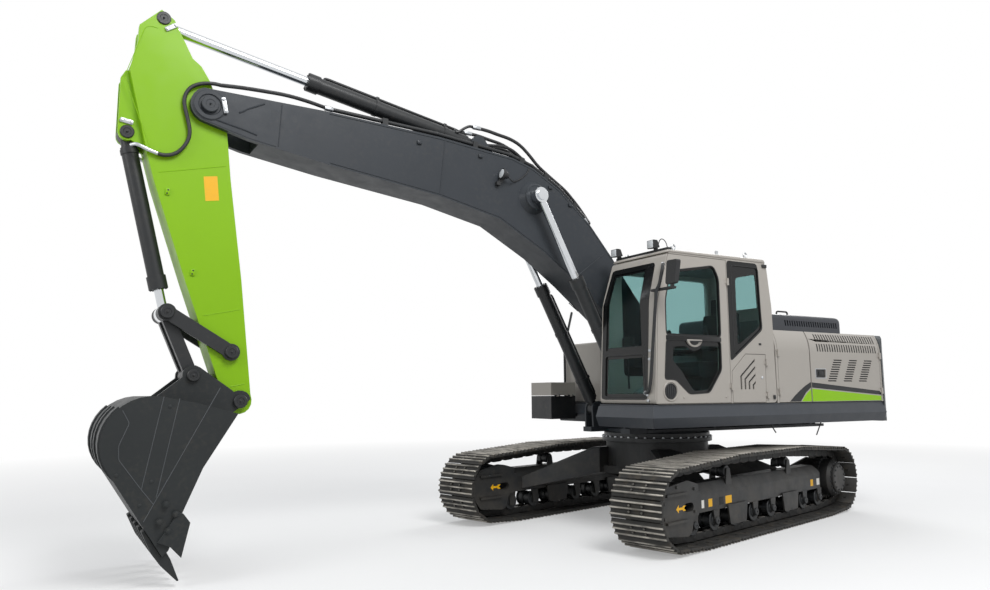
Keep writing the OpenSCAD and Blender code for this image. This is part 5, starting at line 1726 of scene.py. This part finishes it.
# Pins as X and Z
BOOM_CYLINDER_FOOT = (0.700, 1.350)
BOOM_CYLINDER_EYE = (2.020, 3.830)
BOOM_TIP = (5.66, 4.26)
ARM_CYLINDER_FOOT = (2.675, 4.415)
ARM_CYLINDER_EYE = (6.085, 5.040)
BUCKET_CYLINDER_FOOT = (6.335, 3.920)
ROCKER_FOOT = (5.375, 1.95)
ROCKER_TIP = (5.940, 2.295)
BUCKET_PIN = (5.285, 1.50)
LINK_PIN = (5.70, 1.735)


def bead(points: Sequence[Point], y: float, radius: float = 0.005) -> bpy.types.Object:
    """Models a weld bead along a side, at a depth across the machine.

    Args:
        points: Corners as X and Z.
        y: Depth of the face that it lies on.
        radius: Radius of the bead.

    Returns:
        The bead.
    """
    return pipe([(x, y, z) for x, z in points], radius, 0.02, 1)


def pin_cap(at: Point, y: float, radius: float) -> bpy.types.Object:
    """Models the end of a pin with its rim and grease nipple.

    Args:
        at: The pin as X and Z.
        y: Where the face lies, on the left side.
        radius: Radius of the cap.

    Returns:
        The cap.
    """
    profile = [
        (0, -0.002), (radius, -0.002), (radius, 0.010), (radius - 0.006, 0.016), (radius * 0.55, 0.016),
        (radius * 0.5, 0.012), (0, 0.012),
    ]
    nipple = [(0, 0), (0.010, 0), (0.010, 0.008), (0.005, 0.011), (0.006, 0.020), (0, 0.022)]
    cap = turned(profile, Plane.SIDE.point(*at, y), LEFT, 32)
    return join([cap, turned(nipple, Plane.SIDE.point(*at, y + 0.011), LEFT, 14)])


def keeper(at: Point, y: float, half: Point) -> bpy.types.Object:
    """Models a bright keeper bar held by two bolts.

    Args:
        at: Its middle as X and Z.
        y: Where the face lies, on the left side.
        half: From its middle to one of its bolts.

    Returns:
        The bar.
    """
    middle, reach = Vector(at), Vector(half)
    side = Vector((-reach.y, reach.x)).normalized() * 0.021
    tip = reach * 1.35
    corners = [middle + tip + side, middle + tip - side, middle - tip - side, middle - tip + side]
    plate = prism(soft([tuple(c) for c in corners], 0.010), (y - 0.001, y + 0.015), round_by=0.003)
    ends = [middle + reach, middle - reach]
    return join([plate, bolts([((e.x, y + 0.0145, e.y), LEFT) for e in ends], 0.013, 0.012)])


def tabs(spots: Iterable[Point], half: Point, y: float, height: float) -> bpy.types.Object:
    """Models small welded tabs on both sides.

    Args:
        spots: Their middles as X and Z.
        half: Half of a tab's length and height.
        y: Where the face lies, on the left side.
        height: How far a tab stands out.

    Returns:
        The tabs.
    """
    a, b = half
    made = [box((x - a, y - 0.001, z - b), (x + a, y + height, z + b), 0.004) for x, z in spots]
    return mirrored(join(made))


def flexible(obj: bpy.types.Object, name: str, bodies: tuple[str, str], start: Point, end: Point) -> None:
    """Names a hose and lets it bend between the two bodies that hold it.

    Args:
        obj: The hose.
        name: Its name.
        bodies: The bodies at its start and at its end.
        start: Where it begins to leave the first body.
        end: Where it follows the second body alone.
    """
    paint(obj, name, Look.HOSE, 50)
    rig.blend(obj, *bodies, start, end)


@dataclass
class Boom:
    """Boom with its bosses, welds, lamp and lines."""

    body: str = "boom"
    face: float = 0.230
    line_y: float = 0.15
    feed_y: float = 0.105
    top: tuple[Point, ...] = (
        (0.849, 3.218), (1.183, 3.600), (1.626, 3.981), (2.000, 4.190), (2.293, 4.275), (3.243, 4.364),
        (4.497, 4.413),
    )
    low: tuple[Point, ...] = (
        (4.485, 3.857), (3.241, 3.698), (2.476, 3.528), (1.860, 3.190), (1.414, 2.877),
    )

    def welds(self) -> bpy.types.Object:
        """Models the weld beads along the box's edges and across its joints."""
        inset_top = [(x + 0.004, z - 0.022) for x, z in self.top]
        inset_low = [(x - 0.004, z + 0.022) for x, z in self.low]
        lines = [inset_top, inset_low, [(3.179, 4.338), (3.244, 3.720)], [(4.985, 4.392), (5.01, 3.965)]]
        lines += [[(1.37, 2.966), (0.992, 3.245)], [(1.185, 2.684), (1.044, 2.586)]]
        return mirrored(join([bead(line, self.face + 0.001) for line in lines]))

    def bosses(self) -> bpy.types.Object:
        """Models the rims and pin ends of the boom's pins."""
        profile = [(0.128, -0.004), (0.150, -0.004), (0.150, 0.004), (0.142, 0.012), (0.128, 0.012)]
        eye = turned(profile, Plane.SIDE.point(*BOOM_CYLINDER_EYE, 0.304), LEFT, 40)
        profile = [
            (0.098, -0.002), (0.146, -0.002), (0.146, 0.004), (0.138, 0.010), (0.104, 0.010), (0.098, 0.005),
        ]
        tip = pin_cap(BOOM_TIP, 0.262, 0.078)
        tip_rim = turned(profile, Plane.SIDE.point(*BOOM_TIP, 0.2375), LEFT, 40)
        return mirrored(join([eye, tip, tip_rim]))

    def lamp(self) -> None:
        """Models the lamp's lens and wire."""
        tilt = math.radians(78)
        axis = Vector((math.sin(tilt), 0, math.cos(tilt)))
        at = Vector((2.44, 0.300, 4.03)) + axis * 0.0545
        profile = [(0, -0.001), (0.052, -0.001), (0.052, 0.002), (0.036, 0.007), (0, 0.010)]
        place(turned(profile, at, axis, 28), "boom_lamp_lens", self.body, Look.LENS)
        path = [
            (2.41, 0.30, 4.02), (2.36, 0.285, 3.985), (2.295, 0.245, 3.983), (2.20, 0.240, 4.03),
            (2.103, 0.240, 4.12), (2.07, 0.235, 4.185), (2.05, 0.16, 4.235),
        ]
        place(pipe(path, 0.007, 0.04), "boom_lamp_wire", self.body, Look.HOSE)

    def tip_lines(self) -> None:
        """Models the hoses at the boom's tip and the unions at both ends of its steel lines."""
        runs, unions = [], []
        for y in (-self.line_y, self.line_y):
            path = [
                (4.49, y, 4.474), (4.72, y * 1.22, 4.50), (4.95, y * 1.38, 4.512), (5.35, y * 1.38, 4.500),
                (5.55, y * 1.34, 4.485),
            ]
            runs.append(pipe(path, 0.019, 0.12))
            unions.append(bar((4.44, y, 4.4725), (4.53, y, 4.4765), 0.029, 0.004, 6))
            unions.append(bar((1.165, y, 3.62), (1.22, y, 3.69), 0.030, 0.004, 6))
        place(join(runs), "boom_tip_hoses", self.body, Look.HOSE)
        place(join(unions), "boom_line_unions", self.body, Look.ZINC)

    def back_lines(self) -> None:
        """Models the hoses along the boom's back and those that feed the arm cylinder."""
        upper = [
            (2.685, 4.600), (2.55, 4.592), (2.416, 4.569), (2.26, 4.55), (2.117, 4.500), (1.99, 4.40),
            (1.857, 4.270), (1.723, 4.185), (1.451, 4.020), (1.267, 3.850), (1.10, 3.66),
        ]
        lower = [
            (2.54, 4.440), (2.42, 4.455), (2.29, 4.462), (2.18, 4.44), (2.076, 4.375), (1.858, 4.220),
            (1.60, 4.070), (1.40, 3.930), (1.22, 3.760),
        ]
        feeds, runs, ends, ports = [], [], [], []
        for y in (-self.feed_y, self.feed_y):
            feeds.append(pipe([(x, y, z) for x, z in upper], 0.020, 0.08))
            runs.append(pipe([(x, y * 0.4, z) for x, z in lower], 0.018, 0.08))
            ends.append(bar((2.66, y, 4.600), (2.76, y, 4.602), 0.027, 0.004, 6))
            path = [
                (2.75, y, 4.602), (2.80, y, 4.607), (2.86, y * 0.95, 4.575), (2.93, y * 0.76, 4.52),
                (2.964, y * 0.69, 4.517),
            ]
            ports.append(pipe(path, 0.016, 0.04))
        place(join(runs), "boom_top_hoses", self.body, Look.HOSE)
        flexible(join(feeds), "arm_cylinder_hoses", ("boom", "arm_barrel"), (2.15, 0, 4.52), (2.62, 0, 4.60))
        place(join(ends), "arm_cylinder_unions", "arm_barrel", Look.ZINC)
        place(join(ports), "arm_cylinder_ports", "arm_barrel", Look.GEAR)

    def build(self) -> None:
        """Dresses the boom and models what it lacks."""
        dress("boom", Look.FRAME, 0.006, 3)
        dress("boom_lines", Look.GEAR, 0.002)
        dress("boom_lamp", Look.TRIM, 0.003)
        place(self.welds(), "boom_welds", self.body, Look.FRAME)
        spots = ((3.496, 4.257), (2.731, 4.224), (1.483, 3.809), (1.773, 3.989))
        place(tabs(spots, (0.026, 0.018), self.face, 0.022), "boom_tabs", self.body, Look.FRAME)
        place(self.bosses(), "boom_pin_ends", self.body, Look.FRAME)
        bars = keeper((5.530, 4.272), 0.2475, (0.012, 0.055))
        place(mirrored(bars), "boom_tip_keepers", self.body, Look.ZINC)
        ribs = [
            [(5.749, 4.215), (5.700, 4.165), (5.609, 4.130), (5.350, 4.077), (5.217, 4.043)],
            [(5.390, 4.235), (5.356, 4.253), (5.310, 4.288), (5.154, 4.369)],
        ]
        beads = join([bead(rib, 0.2335, 0.010) for rib in ribs])
        place(mirrored(beads), "boom_tip_ribs", self.body, Look.FRAME)
        self.lamp()
        self.tip_lines()
        self.back_lines()


@dataclass
class Arm:
    """Arm with its plates, pin ends, tabs and hoses."""

    body: str = "arm"
    face: float = 0.165
    hose_y: float = 0.197
    tab_spots: tuple[Point, ...] = ((5.982, 3.396), (5.737, 2.672))

    def welds(self) -> bpy.types.Object:
        """Models the weld beads of the arm's plates."""
        lines = [
            [(6.375, 4.449), (6.24, 4.909), (6.193, 4.938), (6.134, 4.931)],
            [(6.387, 4.414), (6.149, 3.791)],
            [(6.062, 3.569), (5.481, 3.711)],
            [(5.624, 2.281), (5.309, 2.351)],
            [(5.364, 1.634), (5.24, 1.661)],
        ]
        return mirrored(join([bead(line, self.face, 0.0035) for line in lines]))

    def pin_ends(self) -> bpy.types.Object:
        """Models the pin ends of the arm."""
        top = pin_cap(ARM_CYLINDER_EYE, 0.1645, 0.062)
        foot = pin_cap(BUCKET_CYLINDER_FOOT, 0.1075, 0.060)
        rocker = pin_cap(ROCKER_FOOT, 0.2265, 0.058)
        return mirrored(join([top, foot, rocker]))

    def hoses(self) -> None:
        """Models the hoses that pass the boom's nose and follow the arm."""
        path = [
            (5.55, 4.485), (5.64, 4.490), (5.758, 4.462), (5.850, 4.395), (5.890, 4.275), (5.842, 4.099),
            (5.815, 3.981), (5.833, 3.880), (5.913, 3.762), (6.009, 3.722), (6.084, 3.730),
        ]
        for sign, end in SIDES:
            hose = pipe([(x, sign * self.hose_y, z) for x, z in path], 0.018, 0.09)
            start, stop = (5.60, sign * 0.2, 4.49), (5.87, sign * 0.2, 4.05)
            flexible(hose, f"arm_hose_{end}", ("boom", "arm"), start, stop)
        feet = []
        for y in (-self.hose_y, self.hose_y):
            foot = [(6.07, y, 3.728), (6.17, y, 3.757), (6.26, y * 0.94, 3.80), (6.300, y * 0.70, 3.795)]
            feet.append(pipe(foot, 0.017, 0.05))
        place(join(feet), "arm_hose_ends", self.body, Look.ZINC)

    def build(self) -> None:
        """Dresses the arm and models what it lacks."""
        dress("arm", Look.LIME, 0.005, 3)
        place(self.welds(), "arm_welds", self.body, Look.LIME)
        place(tabs(self.tab_spots, (0.02, 0.03), self.face, 0.014), "arm_tabs", self.body, Look.LIME)
        place(self.pin_ends(), "arm_pin_ends", self.body, Look.GEAR)
        low = keeper((6.345, 4.015), 0.1045, (0.040, 0.006))
        high = keeper((6.020, 4.965), self.face - 0.0005, (0.035, -0.026))
        place(mirrored(join([low, high])), "arm_keepers", self.body, Look.ZINC)
        # The tabs' holes are dark discs of painted shade.
        shade_spots = [
            ((x + dx, self.face + 0.0135, z + dz), LEFT)
            for x, z in self.tab_spots
            for dx, dz in ((-0.004, 0.016), (0.004, -0.016))
        ]
        place(mirrored(bolts(shade_spots, 0.006, 0.002)), "arm_tab_hole_shade", self.body, Look.VOID)
        outline = [(5.677, 3.583), (5.554, 3.603), (5.530, 3.372), (5.651, 3.352)]
        patch = prism(outline, (self.face - 0.0005, self.face + 0.001))
        place(patch, "arm_blank_patch", self.body, Look.AMBER)
        self.hoses()


@dataclass
class Cylinder:
    """One hydraulic cylinder with its side pipe, bands and gland bolts."""

    barrel: str
    rod: str
    foot: Point
    eye: Point
    length: float
    radius: float
    y: float = 0.0
    piped: bool = True

    def frame(self) -> Matrix:
        """Returns the frame at the foot with local X along the cylinder and local Z upwards from it."""
        foot, eye = (Vector(Plane.SIDE.point(*pin, self.y)) for pin in (self.foot, self.eye))
        way, across = (eye - foot).normalized(), Vector(LEFT)
        return axes(foot, way, across, way.cross(across))

    def side_pipe(self, stations: Sequence[float]) -> list[bpy.types.Object]:
        """Models the pipe along the barrel with its port block, nut and clamps.

        Args:
            stations: Where the clamps sit along the barrel.

        Returns:
            The pieces.
        """
        wall, out = self.radius - 0.004, self.radius + 0.026
        near, far = 0.24, self.length - 0.17
        run = pipe([(near, 0, wall), (near, 0, out), (far, 0, out), (far, 0, wall)], 0.015, 0.05)
        low, high = self.radius, out + 0.018
        clamps = [box((x - 0.018, -0.022, low), (x + 0.018, 0.022, high), 0.004) for x in stations]
        port = box((0.20, -0.034, self.radius - 0.009), (0.31, 0.034, self.radius + 0.024), 0.005)
        level = self.radius + 0.008
        nut = bar((0.135, 0, level), (0.202, 0, level), 0.024, 0.003, 6)
        return [run, *clamps, port, nut]

    def build(self) -> None:
        """Dresses the barrel and the rod and models their fittings."""
        dress(self.barrel, Look.GEAR, 0.003)
        dress(self.rod, Look.CHROME, 0.003)
        skin, rim = self.radius - 0.001, self.radius + 0.007
        band = turned([(skin, -0.02), (rim, -0.02), (rim, 0.02), (skin, 0.02)], (0, 0, 0), FORWARD, 36)
        stations = (0.42, self.length * 0.62) if self.piped else (0.16,)
        bands = copies(band, [Matrix.Translation((x, 0, 0)) for x in stations])
        reach = self.radius - 0.002
        spots = [((self.length - 0.0005, reach * c, reach * s), FORWARD) for c, s in around(10)]
        parts = [bands, bolts(spots, 0.0085, 0.009)]
        if self.piped:
            parts += self.side_pipe(stations)
        fittings = join(parts)
        fittings.data.transform(self.frame())
        place(fittings, f"{self.barrel}_fittings", self.barrel, Look.GEAR)


@dataclass
class Bucket:
    """Bucket with its linkage, teeth and welds."""

    body: str = "bucket"
    face: float = 0.620

    def welds(self) -> bpy.types.Object:
        """Models the weld beads on the bucket's sides."""
        lines = [
            [(5.988, 1.548), (6.125, 0.806)],
            [(5.865, 1.531), (6.011, 0.735)],
            [(5.542, 1.62), (6.098, 0.548)],
            [(6.294, 1.44), (6.238, 1.336), (6.308, 1.158), (6.303, 1.049), (6.14, 0.823), (6.031, 0.682)],
        ]
        return mirrored(join([bead(line, self.face, 0.004) for line in lines]))

    def plugs(self) -> bpy.types.Object:
        """Models the plug welds on the bucket's sides."""
        profile = [(0, -0.001), (0.017, -0.001), (0.016, 0.003), (0.008, 0.006), (0, 0.006)]
        spots = [(5.939, 1.466), (6.315, 0.926), (6.054, 0.861), (6.133, 0.679)]
        return mirrored(join([turned(profile, (x, self.face, z), LEFT, 18) for x, z in spots]))

    def cutter_bolts(self) -> bpy.types.Object:
        """Models the bolts of the side cutters."""
        spots = ((5.938, 0.678), (5.859, 0.594), (5.984, 0.542), (5.914, 0.466))
        return mirrored(bolts([((x, 0.6495, z), LEFT) for x, z in spots], 0.021, 0.019))

    def pin_ends(self) -> bpy.types.Object:
        """Models the pin ends of the bucket's ears."""
        return mirrored(join([pin_cap(BUCKET_PIN, 0.2395, 0.062), pin_cap(LINK_PIN, 0.2395, 0.056)]))

    def build(self) -> None:
        """Dresses the bucket and its linkage."""
        dress("bucket", Look.BUCKET, 0.006)
        dress("bucket_teeth", Look.BUCKET, 0.006)
        dress("side_cutters", Look.BUCKET, 0.004)
        dress("rocker_links", Look.GEAR, 0.006)
        dress("bucket_link", Look.GEAR, 0.006)
        place(self.welds(), "bucket_welds", self.body, Look.WELD)
        place(self.plugs(), "bucket_plug_welds", self.body, Look.BUCKET)
        place(self.cutter_bolts(), "cutter_bolts", self.body, Look.BUCKET)
        place(self.pin_ends(), "bucket_pin_ends", self.body, Look.GEAR)
        caps = mirrored(pin_cap(ROCKER_TIP, 0.2305, 0.060))
        place(caps, "link_pin_ends", "rocker_links", Look.GEAR)


BOOM_CYLINDER = (BOOM_CYLINDER_FOOT, BOOM_CYLINDER_EYE, 1.750, 0.076)
CYLINDERS = (
    Cylinder("boom_barrel_left", "boom_rod_left", *BOOM_CYLINDER, 0.370),
    Cylinder("boom_barrel_right", "boom_rod_right", *BOOM_CYLINDER, -0.370),
    Cylinder("arm_barrel", "arm_rod", ARM_CYLINDER_FOOT, ARM_CYLINDER_EYE, 2.030, 0.084),
    Cylinder("bucket_barrel", "bucket_rod", BUCKET_CYLINDER_FOOT, ROCKER_TIP, 1.440, 0.072, piped=False),
)


# Camera, floor and light


@dataclass
class Studio:
    """The photo's camera over a pale floor in soft light."""

    eye: tuple[float, float, float] = (6.9282, 7.5115, 1.5534)
    yaw: float = math.radians(-121.0215)
    pitch: float = math.radians(7.3574)
    roll: float = -0.0066
    lens: float = 27.823

    def camera(self) -> None:
        """Sets up the camera at the place and angle of the photo's own."""
        level = Vector((math.cos(self.yaw), math.sin(self.yaw), 0))
        forward = level * math.cos(self.pitch) + Vector(UP) * math.sin(self.pitch)
        right = level.cross(UP)
        up = right.cross(forward)
        across = right * math.cos(self.roll) + up * math.sin(self.roll)
        above = up * math.cos(self.roll) - right * math.sin(self.roll)
        data = bpy.data.cameras.new("photo_camera")
        data.lens = self.lens
        data.sensor_width = 36
        data.clip_end = 500
        camera = bpy.data.objects.new("photo_camera", data)
        camera.matrix_world = axes(self.eye, across, above, -forward)
        bpy.context.scene.collection.objects.link(camera)
        bpy.context.scene.camera = camera

    @staticmethod
    def seen(tree: bpy.types.NodeTree) -> bpy.types.NodeSocket:
        """Tells the rays that show the background: straight, mirrored or through glass.

        Args:
            tree: Node tree of the floor or of the sky.

        Returns:
            The value 1 for such a ray, or else 0.
        """
        path = tree.nodes.new("ShaderNodeLightPath")
        total = path.outputs["Is Camera Ray"]
        for kind in ("Is Glossy Ray", "Is Transmission Ray"):
            node = tree.nodes.new("ShaderNodeMath")
            node.use_clamp = True
            tree.links.new(total, node.inputs[0])
            tree.links.new(path.outputs[kind], node.inputs[1])
            total = node.outputs[0]
        return total

    def floor(self) -> None:
        """Lays a pale floor that fades to the white of the background."""
        deselect()
        bpy.ops.mesh.primitive_circle_add(vertices=96, radius=90, fill_type="NGON", location=(0, 0, -0.002))
        floor = settle(bpy.context.object)
        floor.name = "studio_floor"
        shader = Shader("studio_floor")
        pale = shader.mix(shader.noise(0.6, 3), (0.80, 0.80, 0.795, 1), (0.84, 0.84, 0.84, 1))
        seen = self.seen(shader.tree)
        shader.put("Base Color", shader.mix(seen, (0.42, 0.405, 0.385, 1), pale))
        shader.put("Roughness", 0.85)
        shader.put("Specular IOR Level", 0.1)
        far = shader.node("VectorMath", {0: shader.place}, "Value", operation="LENGTH")
        white_share = shader.times(shader.span(far, (5.5, 17), (0.30, 1)), seen)
        white = shader.node("Emission", {}, 0)
        blend = shader.node("MixShader", {0: white_share, 1: shader.bsdf.outputs[0], 2: white}, 0)
        shader.feed(shader.tree.nodes["Material Output"].inputs["Surface"], blend)
        floor.data.materials.append(shader.material)
        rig.stage(floor)

    def lamp(self, name: str, at: Point, aim: Point, size: float, power: float) -> None:
        """Hangs a soft lamp.

        Args:
            name: Its name.
            at: Where it hangs.
            aim: What it points at.
            size: Width in metres.
            power: Power in watts.
        """
        data = bpy.data.lights.new(name, "AREA")
        data.shape = "DISK"
        data.size = size
        data.energy = power
        lamp = bpy.data.objects.new(name, data)
        lamp.matrix_world = stand(at, Vector(at) - Vector(aim))
        bpy.context.scene.collection.objects.link(lamp)
        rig.stage(lamp)

    def light(self) -> None:
        """Lights the machine softly from above and from the camera's left."""
        world = bpy.data.worlds.new("sky")
        bpy.context.scene.world = world
        world.use_nodes = True
        tree = world.node_tree
        sky = tree.nodes["Background"]
        sky.inputs["Color"].default_value = (0.93, 0.96, 1.0, 1)
        sky.inputs["Strength"].default_value = 0.55
        white = tree.nodes.new("ShaderNodeBackground")
        white.inputs["Color"].default_value = (1, 1, 1, 1)
        blend = tree.nodes.new("ShaderNodeMixShader")
        tree.links.new(self.seen(tree), blend.inputs[0])
        tree.links.new(sky.outputs[0], blend.inputs[1])
        tree.links.new(white.outputs[0], blend.inputs[2])
        tree.links.new(blend.outputs[0], tree.nodes["World Output"].inputs["Surface"])
        self.lamp("key_lamp", (3.0, 9.0, 11.0), (1.5, 0.4, 1.6), 6.0, 1050)
        self.lamp("fill_lamp", (13.0, 2.0, 6.0), (3.0, 0.0, 1.8), 6.0, 240)
        self.lamp("back_lamp", (-8.0, -5.0, 9.0), (0.0, 0.0, 2.0), 6.0, 500)

    def build(self) -> None:
        """Puts up the camera, the floor and the light."""
        bpy.context.scene.view_settings.view_transform = "Standard"
        self.camera()
        self.floor()
        self.light()


def main() -> None:
    """Dresses the frame's solids and models what they lack."""
    logging.basicConfig(level=logging.INFO, format="%(message)s")
    Studio().build()
    for assembly in (Undercarriage(), UpperDeck(), Housing(), Cab(), Boom(), Arm(), *CYLINDERS, Bucket()):
        LOG.info("Building %s", type(assembly).__name__)
        assembly.build()
    low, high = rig.bounds()
    with open("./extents.json", "w", encoding="utf-8") as out:
        json.dump({"cad": [list(p) for p in CAD_BOX], "final": [list(low), list(high)]}, out)


if __name__ == "__main__":
    main()
